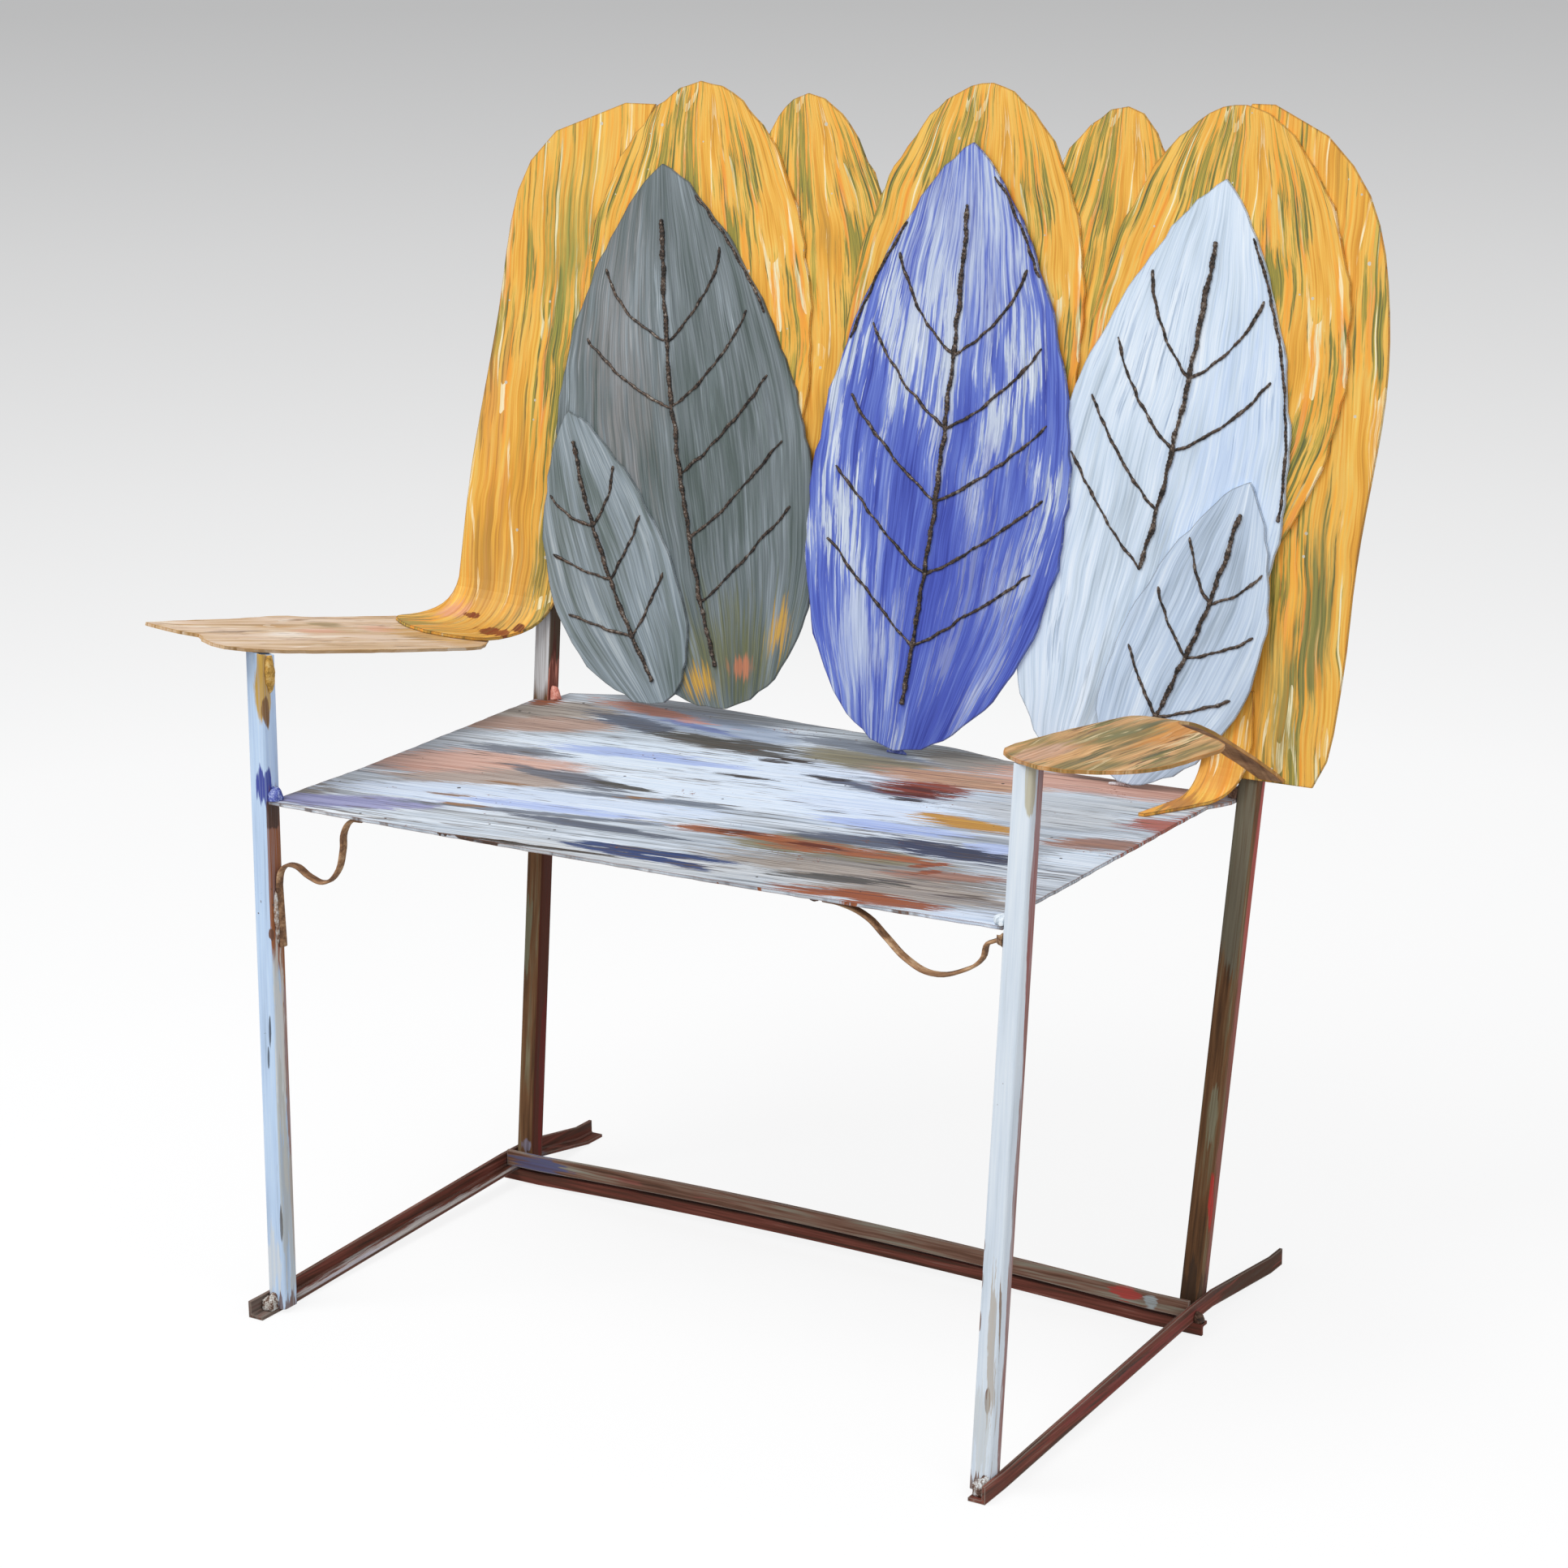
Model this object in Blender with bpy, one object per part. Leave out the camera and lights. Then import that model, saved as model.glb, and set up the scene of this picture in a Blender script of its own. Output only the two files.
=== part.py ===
"""A two-seat bench welded from square tube, angle iron and torch-cut sheet steel.

Metres, +Z up. The sitter faces -Y, and +X is on the right of someone who looks at
the front of the bench. The origin is at the middle of the box's underside.
"""

import math

import bmesh
import bpy
from mathutils import Matrix, Vector

# Steel sections
TUBE = 0.019
TUBE_WALL = 0.0016
TUBE_CORNER = 0.0025
ANGLE_LEG = 0.0159
ANGLE_WALL = 0.003
ANGLE_FILLET = 0.001
SMALL_LEG = 0.011
SHEET = 0.003
STRIP_WIDTH = 0.009
STRIP_THICK = 0.003
FIT = 0.0003

# Frame. Heights are above the floor; SPAN and DEPTH are between post centres at the floor;
# the leans are sideways metres per metre of height.
SPAN = 0.737
DEPTH = 0.390
SPLAY = 0.030
FRONT_LEAN = 0.052
RAKE = 0.147
SEAT_TOP = 0.4815
REAR_POST_RISE = 0.4835
RUNNER_HEEL = 0.012
RUNNER_FLAT = 0.025
LEFT_RUNNER_NOSE = 0.033
LEFT_RUNNER_TAIL = 0.128
RIGHT_RUNNER_NOSE = 0.024
RIGHT_RUNNER_TAIL = 0.173
STRETCHER_RISE = 0.0028
STRETCHER_STUB = 0.009
STRETCHER_BOW = 0.007

# Seat: how far its front edge bows out, and its rear edge runs on behind the posts' front.
SEAT_BOW = 0.007
SEAT_TAIL = 0.062

# Arms. The left one is a flat sheet, tipped to the back and to the seat; the right one is
# level at the front and arches down to the foot of the right wing.
ARM_HEIGHT = 0.614
ARM_WIDTH = 0.128
LEFT_ARM_NOSE = 0.048
LEFT_ARM_FALL = 0.20
LEFT_ARM_TIP = 0.15
RIGHT_ARM_NOSE = 0.022
RIGHT_ARM_FALL = 0.08
RIGHT_ARM_CREST = 0.62

# Back. BACK_LENGTH is from the seat to the highest tip, measured up the rake. The left
# wing's foot curls forward on to the left arm, the tongue on to the seat.
BACK_LENGTH = 0.619
FOOT_CURL = 0.066
FOOT_REACH = 0.086
FOOT_LENGTH = 0.126
RIGHT_FOOT_RISE = 0.0205
TONGUE_HEIGHT = 0.0985
TONGUE_CURL = 0.0465
TONGUE_REACH = 0.036
TONGUE_LENGTH = 0.091
EDGE_ROUGH = 0.0015
LEAF_STRAY = 0.0032
RIB_RADIUS = 0.0021

# Brackets: the size that their scrolls are drawn to.
SCROLL = 0.100

# Derived places
HALF = SPAN / 2
LEAN_LENGTH = math.sqrt(1.0 + RAKE * RAKE)
RUNNER_LIFT = STRETCHER_RISE + SMALL_LEG + FIT
FLANGE_TOP = RUNNER_LIFT + ANGLE_WALL + FIT
RUNNER_INNER = HALF + TUBE / 2 + SPLAY * (FLANGE_TOP + ANGLE_LEG) + FIT
RUNNER_OUTER = RUNNER_INNER + ANGLE_WALL
RUNNER_NOSE = {-1: LEFT_RUNNER_NOSE, 1: RIGHT_RUNNER_NOSE}
RUNNER_TAIL = {-1: LEFT_RUNNER_TAIL, 1: RIGHT_RUNNER_TAIL}
REAR_FACE = DEPTH - TUBE / 2
STRETCHER_FRONT = REAR_FACE + RAKE * FLANGE_TOP - FIT - ANGLE_LEG
LIFT_START = STRETCHER_FRONT - SMALL_LEG / 2
LIFT_END = DEPTH + TUBE
ARM_FRONT = FRONT_LEAN * ARM_HEIGHT
ARM_MIDDLE = SHEET / 2 * 1.05 + FIT
BACK_FOOT = (SEAT_TOP + 2 * FIT) * LEAN_LENGTH

PALE_BLUE = "C3D2E6"
COBALT = "5F6EB8"
CHARCOAL = "747C7E"
MARIGOLD = "E2AC52"
TAN = "D3B896"
OCHRE = "B9966A"
RUST = "6E4A38"
SALMON = "B98C7C"
SLATE = "8E97A6"
BEAD = "4F4A46"


def post_x(side, z):
    """Centre of a post at height z; side is -1 for left and 1 for right."""
    return side * (SPAN / 2 + SPLAY * z)


def back_y(z, layer_front=0.0):
    """Depth at height z of the plane that the back plates lie on, or of a sheet in front of it."""
    return REAR_FACE + RAKE * z - layer_front * LEAN_LENGTH


def layer_depth(layer):
    """Distance of a layer's rear face in front of the rear posts."""
    return FIT + layer * (SHEET + FIT)


def left_arm_under(x, y):
    """Height of the left arm plate's underside."""
    fall = LEFT_ARM_FALL * (y - ARM_FRONT)
    tip = LEFT_ARM_TIP * (x - post_x(-1, ARM_HEIGHT))
    return ARM_HEIGHT - fall - tip


def right_arm_end():
    """Depth and underside height of the right arm's rear end, just clear of the right wing."""
    z = SEAT_TOP + RIGHT_FOOT_RISE + SHEET / 2
    return back_y(z, layer_depth(0) + SHEET * 1.36 + FIT), z


def right_arm_under(x, y):
    """Height of the right arm plate's underside, the same across its width."""
    end_y, end_z = right_arm_end()
    crest = ARM_FRONT + RIGHT_ARM_CREST * DEPTH * 0.86
    drop = ARM_HEIGHT - RIGHT_ARM_FALL * (end_y - ARM_FRONT) - end_z
    arch = max(0.0, y - crest) / (end_y - crest)
    return ARM_HEIGHT - RIGHT_ARM_FALL * (y - ARM_FRONT) - drop * arch ** 2


def smooth_line(stops, place):
    """Value at place on a smooth line through (place, value) stops in rising order."""
    last = len(stops) - 1
    index = 0
    while index < last - 1 and place > stops[index + 1][0]:
        index += 1
    start, end = stops[index], stops[index + 1]
    before, after = stops[max(index - 1, 0)], stops[min(index + 2, last)]
    gap = end[0] - start[0]
    leave = (end[1] - before[1]) / (end[0] - before[0]) * gap
    arrive = (after[1] - start[1]) / (after[0] - start[0]) * gap
    t = min(max((place - start[0]) / gap, 0.0), 1.0)
    rise = t * t * (3 - 2 * t)
    return (start[1] * (1 - rise) + end[1] * rise
            + leave * t * (1 - t) ** 2 - arrive * t * t * (1 - t))


def srgb(hex_code):
    """Linear colour from an sRGB hex code."""
    channels = [int(hex_code[i:i + 2], 16) / 255 for i in (0, 2, 4)]
    return [c / 12.92 if c <= 0.04045 else ((c + 0.055) / 1.055) ** 2.4 for c in channels]


def add_object(name, data, hex_code, roughness, metallic, parent):
    """Links mesh or curve data as a named object with its own painted material."""
    material = bpy.data.materials.new(name)
    material.use_nodes = True
    shader = material.node_tree.nodes["Principled BSDF"]
    shader.inputs["Base Color"].default_value = (*srgb(hex_code), 1.0)
    shader.inputs["Roughness"].default_value = roughness
    shader.inputs["Metallic"].default_value = metallic
    data.materials.append(material)
    obj = bpy.data.objects.new(name, data)
    bpy.context.scene.collection.objects.link(obj)
    obj.parent = parent
    return obj


def add_mesh(name, bm, hex_code, parent, roughness=0.55, metallic=0.0, smooth=False):
    """Closes a bmesh into a named object."""
    bmesh.ops.recalc_face_normals(bm, faces=bm.faces)
    mesh = bpy.data.meshes.new(name)
    bm.to_mesh(mesh)
    bm.free()
    if smooth:
        mesh.shade_smooth()
    return add_object(name, mesh, hex_code, roughness, metallic, parent)


def add_solidify(obj, offset):
    """Gives a sheet its thickness: offset 0 on both sides, 1 or -1 on one side."""
    solidify = obj.modifiers.new("sheet", "SOLIDIFY")
    solidify.thickness = SHEET
    solidify.offset = offset
    solidify.use_even_offset = True


def add_tube_post(name, side, y_floor, lean, bottom, top_height, hex_code, parent):
    """A square tube, cut level at the bottom and mitred to top_height(x, y) at the top."""
    bm = bmesh.new()
    bmesh.ops.create_grid(bm, x_segments=1, y_segments=1, size=TUBE / 2)
    bmesh.ops.bevel(bm, geom=bm.verts[:], offset=TUBE_CORNER, segments=3, profile=0.5,
                    affect="VERTICES")
    bmesh.ops.inset_region(bm, faces=bm.faces[:], thickness=TUBE_WALL, use_boundary=True)
    middle = max(bm.faces, key=lambda face: len(face.verts))
    bmesh.ops.delete(bm, geom=[middle], context="FACES_ONLY")
    grown = bmesh.ops.extrude_face_region(bm, geom=bm.faces[:])["geom"]
    top_verts = [item for item in grown if isinstance(item, bmesh.types.BMVert)]
    bmesh.ops.translate(bm, verts=top_verts, vec=(0, 0, 1.0))
    x_bottom, y_bottom = post_x(side, bottom), y_floor + lean * bottom
    for vert in top_verts:
        x, y = vert.co.x + x_bottom, vert.co.y + y_bottom
        height = 0.5
        for _ in range(12):
            height = top_height(x + side * SPLAY * height, y + lean * height) - bottom
        vert.co.z = height
    shear = Matrix(((1, 0, side * SPLAY, x_bottom), (0, 1, lean, y_bottom),
                    (0, 0, 1, bottom), (0, 0, 0, 1)))
    bmesh.ops.transform(bm, matrix=shear, verts=bm.verts[:])
    return add_mesh(name, bm, hex_code, parent)


def add_swept_bar(name, section, stations, place, hex_code, parent, roughness=0.7):
    """Extrudes a closed section from station to station; place puts a section point at one."""
    bm = bmesh.new()
    verts = [bm.verts.new(place(point, stations[0])) for point in section]
    face = bm.faces.new(verts)
    for station in stations[1:]:
        grown = bmesh.ops.extrude_face_region(bm, geom=[face])["geom"]
        if station != stations[1]:
            bmesh.ops.delete(bm, geom=[face], context="FACES_ONLY")
        face = next(item for item in grown if isinstance(item, bmesh.types.BMFace))
        for vert, point in zip(face.verts, section):
            vert.co = place(point, station)
    return add_mesh(name, bm, hex_code, parent, roughness)


def angle_section(leg, wall):
    """An angle iron's L: the corner at the origin, the legs along the first and second axis."""
    return ((0, 0), (leg, 0), (leg, wall), (wall + ANGLE_FILLET, wall),
            (wall, wall + ANGLE_FILLET), (wall, leg), (0, leg))


def runner_height(side, y):
    """Underside of a runner: flat on the floor at both ends, lifted over the stretcher."""
    toe = DEPTH + RUNNER_TAIL[side] - RUNNER_FLAT
    climb = (y - RUNNER_HEEL) / (LIFT_START - RUNNER_HEEL)
    fall = (toe - y) / (toe - LIFT_END)
    return RUNNER_LIFT * min(max(min(climb, fall), 0.0), 1.0)


def bow_height(x):
    """Upward bow of the stretchers between the posts, nought over the runners."""
    free = HALF - TUBE * 1.5
    return STRETCHER_BOW * max(0.0, 1 - (x / free) ** 2)


def torch_waver(s):
    """Depth, from 0 to EDGE_ROUGH, of a torch cut's waver at length s along an edge."""
    return EDGE_ROUGH * (0.5 + 0.28 * math.sin(s * 210) + 0.22 * math.sin(s * 467 + 1.3))


def rough_outline(points, stray=0.0, step=0.012):
    """Points round a closed outline, pulled in by the waver of a torch cut.

    stray is how far a freehand cut wanders inside the line; it is nought at the outline's
    first point and halfway round, where a leaf has its base and its tip.
    """
    corners = [Vector(point) for point in points]
    sides = [end - start for start, end in zip(corners, corners[1:] + corners[:1])]
    whole = sum(side.length for side in sides)
    rough = []
    travelled = 0.0
    for start, side in zip(corners, sides):
        count = max(1, round(side.length / step))
        inward = Vector((-side.y, side.x)).normalized()
        for index in range(count):
            s = travelled + side.length * index / count
            free = min(1.0, 2.5 * abs(math.sin(2 * math.pi * s / whole)))
            wander = 0.5 + 0.3 * math.sin(s * 83 + corners[0].x * 40) + 0.2 * math.sin(s * 191)
            rough.append(start + side * index / count
                         + inward * (torch_waver(s) + stray * free * wander))
        travelled += side.length
    return rough


def leaf_axis(base, tip, bow, t):
    """Point at t on a leaf's midrib, bowed sideways from base to tip."""
    along = Vector(tip) - Vector(base)
    across = Vector((along.y, -along.x)).normalized()
    return Vector(base) + along * t + across * bow * 4 * t * (1 - t)


def leaf_outline(base, tip, half_width, bow, taper, count=15):
    """A leaf's outline, counter-clockwise; taper sets how pointed its tip is."""
    along = Vector(tip) - Vector(base)
    across = Vector((along.y, -along.x)).normalized()
    rise = 0.55
    widest = rise / (rise + taper)
    scale = half_width / (widest ** rise * (1 - widest) ** taper)
    right, left = [], []
    for index in range(1, count):
        t = (1 - math.cos(math.pi * index / count)) / 2
        width = scale * t ** rise * (1 - t) ** taper
        middle = leaf_axis(base, tip, bow, t)
        right.append(middle + across * width)
        left.append(middle - across * width)
    return [Vector(base)] + right + [Vector(tip)] + left[::-1]


def add_leaf_plate(name, base, tip, half_width, bow, taper, layer, hex_code, parent):
    """A flat leaf of sheet, upright in the back's own plane."""
    bm = bmesh.new()
    outline = rough_outline(leaf_outline(base, tip, half_width, bow, taper), LEAF_STRAY)
    bm.faces.new([bm.verts.new((point.x, 0, point.y)) for point in outline])
    obj = add_mesh(name, bm, hex_code, parent)
    if obj.data.polygons[0].normal.y > 0:
        obj.data.flip_normals()
    add_solidify(obj, 1)
    obj.location.y = -layer_depth(layer)
    return obj


def add_leaf_rib(name, base, tip, bow, layer, start, parent):
    """A weld bead run along a leaf's midrib from start, a share of its length."""
    curve = bpy.data.curves.new(name, "CURVE")
    curve.dimensions = "3D"
    curve.bevel_depth = RIB_RADIUS
    curve.bevel_resolution = 1
    curve.use_fill_caps = True
    spline = curve.splines.new("POLY")
    count = 22
    spline.points.add(count)
    for index, point in enumerate(spline.points):
        t = start + (0.88 - start) * index / count
        middle = leaf_axis(base, tip, bow, t)
        point.co = (middle.x, 0, middle.y, 1)
        point.radius = (1 - 0.5 * t) * (1 + 0.14 * math.sin(index * 2.4))
    obj = add_object(name, curve, BEAD, 0.6, 0.3, parent)
    obj.location.y = -(layer_depth(layer) + SHEET + FIT + RIB_RADIUS * 1.1)
    return obj


def add_sheet_grid(name, rows, hex_code, parent, roughness=0.55):
    """A bent sheet from rows of points across it."""
    bm = bmesh.new()
    grid = [[bm.verts.new(point) for point in row] for row in rows]
    for row, following in zip(grid, grid[1:]):
        for a, b, c, d in zip(row, row[1:], following[1:], following):
            bm.faces.new((a, b, c, d))
    obj = add_mesh(name, bm, hex_code, parent, roughness)
    add_solidify(obj, 0)
    return obj


def add_blob(name, centre, radii, cuts, hex_code, parent):
    """A lump of weld metal, cut off flat where it lies on its neighbours.

    The radii are in tube widths; each cut is a point and a normal into the neighbour.
    """
    bm = bmesh.new()
    bmesh.ops.create_icosphere(bm, subdivisions=2, radius=1.0)
    for vert in bm.verts:
        x, y, z = vert.co
        swell = 1 + 0.10 * math.sin(5 * x + 2 * y) + 0.08 * math.sin(6 * z + 3 * x + 1)
        lump = Vector((x * radii[0], y * radii[1], z * radii[2])) * TUBE
        vert.co = lump * swell + Vector(centre)
    for point, normal in cuts:
        away = Vector(normal).normalized()
        geom = bm.verts[:] + bm.edges[:] + bm.faces[:]
        bmesh.ops.bisect_plane(bm, geom=geom, plane_co=Vector(point) - away * FIT,
                               plane_no=away, clear_outer=True)
        open_edges = [edge for edge in bm.edges if edge.is_boundary]
        bmesh.ops.holes_fill(bm, edges=open_edges)
    bmesh.ops.triangulate(bm, faces=bm.faces[:])
    return add_mesh(name, bm, hex_code, parent, 0.65, 0.2, smooth=True)


def add_bent_strip(name, path, y, hex_code, parent):
    """A strip bent on edge: path is (x, z) points, its width lies along y."""
    curve = bpy.data.curves.new(name, "CURVE")
    curve.dimensions = "3D"
    curve.twist_mode = "Z_UP"
    curve.extrude = STRIP_WIDTH / 2 - STRIP_THICK / 2
    curve.bevel_depth = STRIP_THICK / 2
    curve.bevel_resolution = 1
    curve.resolution_u = 5
    curve.use_fill_caps = True
    spline = curve.splines.new("BEZIER")
    spline.bezier_points.add(len(path) - 1)
    for point, (x, z) in zip(spline.bezier_points, path):
        point.co = (x, z, 0)
        point.handle_left_type = "AUTO"
        point.handle_right_type = "AUTO"
    spline.bezier_points[-2].handle_right_type = "VECTOR"
    spline.bezier_points[-1].handle_left_type = "VECTOR"
    obj = add_object(name, curve, hex_code, 0.7, 0.2, parent)
    obj.rotation_euler.x = math.pi / 2
    obj.location.y = y
    return obj


def build_frame(root):
    """Posts, runners and the two rear stretchers."""
    arm_under = {-1: left_arm_under, 1: right_arm_under}
    for side, word in ((-1, "left"), (1, "right")):
        under = arm_under[side]
        add_tube_post(word + "_front_post", side, 0.0, FRONT_LEAN, ANGLE_WALL + FIT,
                      lambda x, y, under=under: under(x, y) - FIT, PALE_BLUE, root)
        add_tube_post(word + "_rear_post", side, DEPTH, RAKE, FLANGE_TOP,
                      lambda x, y: SEAT_TOP + REAR_POST_RISE, RUST, root)
        rear = DEPTH + RUNNER_TAIL[side]
        stations = [-RUNNER_NOSE[side], RUNNER_HEEL, LIFT_START, LIFT_END, rear - RUNNER_FLAT, rear]
        add_swept_bar(
            word + "_runner", angle_section(ANGLE_LEG, ANGLE_WALL), stations,
            lambda p, y, side=side: (side * (RUNNER_OUTER - p[0]), y,
                                     runner_height(side, y) + p[1]),
            RUST, root)
    bowed = [(HALF - TUBE * 1.5) * index / 12 for index in range(-12, 13)]
    lower = [-RUNNER_OUTER] + bowed + [RUNNER_OUTER + STRETCHER_STUB]
    add_swept_bar(
        "lower_stretcher", angle_section(SMALL_LEG, ANGLE_WALL), lower,
        lambda p, x: (x, STRETCHER_FRONT + p[0], RUNNER_LIFT - FIT - p[1] + bow_height(x)),
        RUST, root)
    reach = RUNNER_INNER - ANGLE_FILLET - FIT
    upper = [-reach] + bowed + [reach]
    add_swept_bar(
        "upper_stretcher", angle_section(ANGLE_LEG, ANGLE_WALL), upper,
        lambda p, x: (x, STRETCHER_FRONT + p[0], FLANGE_TOP + p[1] + bow_height(x)), RUST, root)


def build_seat(root):
    """The seat sheet, flush with the front posts and notched at the left rear post."""
    inner = post_x(1, SEAT_TOP) - TUBE / 2 - FIT - SPLAY * SHEET
    outer_left = inner + TUBE * 0.85
    front = FRONT_LEAN * SEAT_TOP - TUBE * 0.45
    rear = back_y(SEAT_TOP - SHEET) - 2 * FIT
    depth = rear - front
    front_edge = []
    for index in range(25):
        share = index / 12 - 1
        front_edge.append((inner * share, front - SEAT_BOW * (1 - share * share)))
    right_edge = [(inner, front + depth * 0.07), (inner * 0.976, front + depth * 0.17),
                  (inner * 0.968, rear - depth * 0.07), (inner, rear - depth * 0.014)]
    rear_edge = []
    for across, back in ((1.0, 0.26), (0.56, 0.16), (0.35, 0.35), (0.19, 0.61), (-0.25, 0.77),
                         (-0.66, 1.0), (-0.84, 0.98), (-1.0, 0.58)):
        rear_edge.append((inner * across, rear + SEAT_TAIL * back))
    left_edge = [(-inner, rear), (-outer_left, rear),
                 (-(inner + outer_left) / 2, rear - depth * 0.33),
                 (-inner, rear - depth * 0.68), (-inner, front + depth * 0.07)]
    outline = rough_outline(front_edge + right_edge + rear_edge + left_edge)
    bm = bmesh.new()
    bm.faces.new([bm.verts.new((point.x, point.y, SEAT_TOP)) for point in outline])
    seat = add_mesh("seat_sheet", bm, SLATE, root)
    if seat.data.polygons[0].normal.z < 0:
        seat.data.flip_normals()
    add_solidify(seat, -1)


def arm_rows(side, nose, end, inner, outer, under, count, columns=5):
    """Rows across an arm plate from its nose to its rear end.

    The edges are (share of length, share of width out from the post's centre) stops.
    """
    start = ARM_FRONT - nose
    rows = []
    for index in range(count + 1):
        share = index / count
        y = start + (end - start) * share
        waver = torch_waver(y) / ARM_WIDTH
        near = smooth_line(inner, share) + waver
        far = smooth_line(outer, share) - waver
        row = []
        for column in range(columns + 1):
            out = (near + (far - near) * column / columns) * ARM_WIDTH
            x = side * (post_x(1, ARM_HEIGHT) + out)
            row.append((x, y, under(x, y) + ARM_MIDDLE))
        rows.append(row)
    return rows


def left_arm_outline(count=24):
    """The left arm's outline, seen from above; its nose has two lobes with a nick between.

    The stops are (share of length, share of width out from the post's centre).
    """
    nose = ((0.0, 0.69), (0.009, 0.584), (0.023, 0.474), (0.053, 0.386), (0.025, 0.276),
            (0.010, 0.145), (0.022, 0.06))
    inner = ((0.064, -0.01), (0.174, -0.06), (0.404, -0.06), (0.725, -0.015), (0.885, 0.04),
             (1.0, 0.26))
    outer = ((0.0, 0.71), (0.15, 0.78), (0.32, 0.835), (0.507, 0.935), (0.60, 0.905),
             (0.776, 0.935), (0.95, 0.965), (1.0, 0.90))
    front = inner[0][0]
    shares = [front + (1 - front) * index / count for index in range(count + 1)]
    places = [(share, smooth_line(inner, share)) for share in shares]
    places += [(share, smooth_line(outer, share)) for share in reversed(shares)]
    places += [(0.0, outer[0][1])] + list(nose)
    start = ARM_FRONT - LEFT_ARM_NOSE
    length = back_y(ARM_HEIGHT) - (FOOT_REACH - TUBE * 1.85) - start
    return [(post_x(-1, ARM_HEIGHT) - out * ARM_WIDTH, start + length * share)
            for share, out in places]


def build_arms(root):
    """The two leaf-shaped arm plates."""
    bm = bmesh.new()
    outline = rough_outline(left_arm_outline())
    bm.faces.new([bm.verts.new((point.x, point.y, left_arm_under(point.x, point.y) + ARM_MIDDLE))
                  for point in outline])
    add_solidify(add_mesh("left_arm_plate", bm, TAN, root), 0)
    inner = ((0.0, 0.14), (0.046, -0.13), (0.114, -0.29), (0.251, -0.30), (0.50, -0.235),
             (0.66, -0.195), (0.888, -0.085), (1.0, 0.07))
    outer = ((0.0, 0.34), (0.046, 0.59), (0.137, 0.75), (0.273, 0.78), (0.41, 0.745),
             (0.478, 0.51), (0.558, 0.18), (0.66, 0.08), (0.843, 0.10), (1.0, 0.265))
    rows = arm_rows(1, RIGHT_ARM_NOSE, right_arm_end()[0], inner, outer, right_arm_under, 36)
    add_sheet_grid("right_arm_plate", rows, OCHRE, root)


def bent_rows(outer, inner, flat_top, bend_z, lap_height, lap_y, end_y, depth, columns=4):
    """Rows down a sheet that leaves the back plane and bends forward on to a lap.

    The edges are (share from the top to the foot's end, share of the half span) stops, and
    lap_height(x, y) is the middle of the sheet where it lies flat.
    """
    flat_steps, bend_steps, lap_steps = 16, 9, 4
    total = flat_steps + bend_steps + lap_steps
    rows = []
    for index in range(total + 1):
        first = smooth_line(outer, index / total) * HALF
        last = smooth_line(inner, index / total) * HALF
        row = []
        for column in range(columns + 1):
            x = first + (last - first) * column / columns
            if index <= flat_steps:
                z = flat_top + (bend_z - flat_top) * index / flat_steps
                row.append((x, back_y(z, depth), z))
                continue
            start = Vector((back_y(bend_z, depth), bend_z))
            finish = Vector((lap_y, lap_height(x, lap_y)))
            slope = (lap_height(x, lap_y + 0.001) - lap_height(x, lap_y)) / 0.001
            drop = (start.y - finish.y - slope * (start.x - finish.x)) / (1 - slope * RAKE)
            corner = start - Vector((RAKE, 1)) * drop
            t = min((index - flat_steps) / bend_steps, 1.0)
            place = start * (1 - t) ** 2 + corner * 2 * t * (1 - t) + finish * t * t
            if index > flat_steps + bend_steps:
                lap = (index - flat_steps - bend_steps) / lap_steps
                y = lap_y + (end_y - lap_y) * lap
                place = Vector((y, lap_height(x, y)))
            row.append((x, place.x, place.y))
        rows.append(row)
    return rows


def back_height(share):
    """Height above the floor at a share of the back's length up from the seat."""
    return (BACK_FOOT + share * BACK_LENGTH) / LEAN_LENGTH


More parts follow.
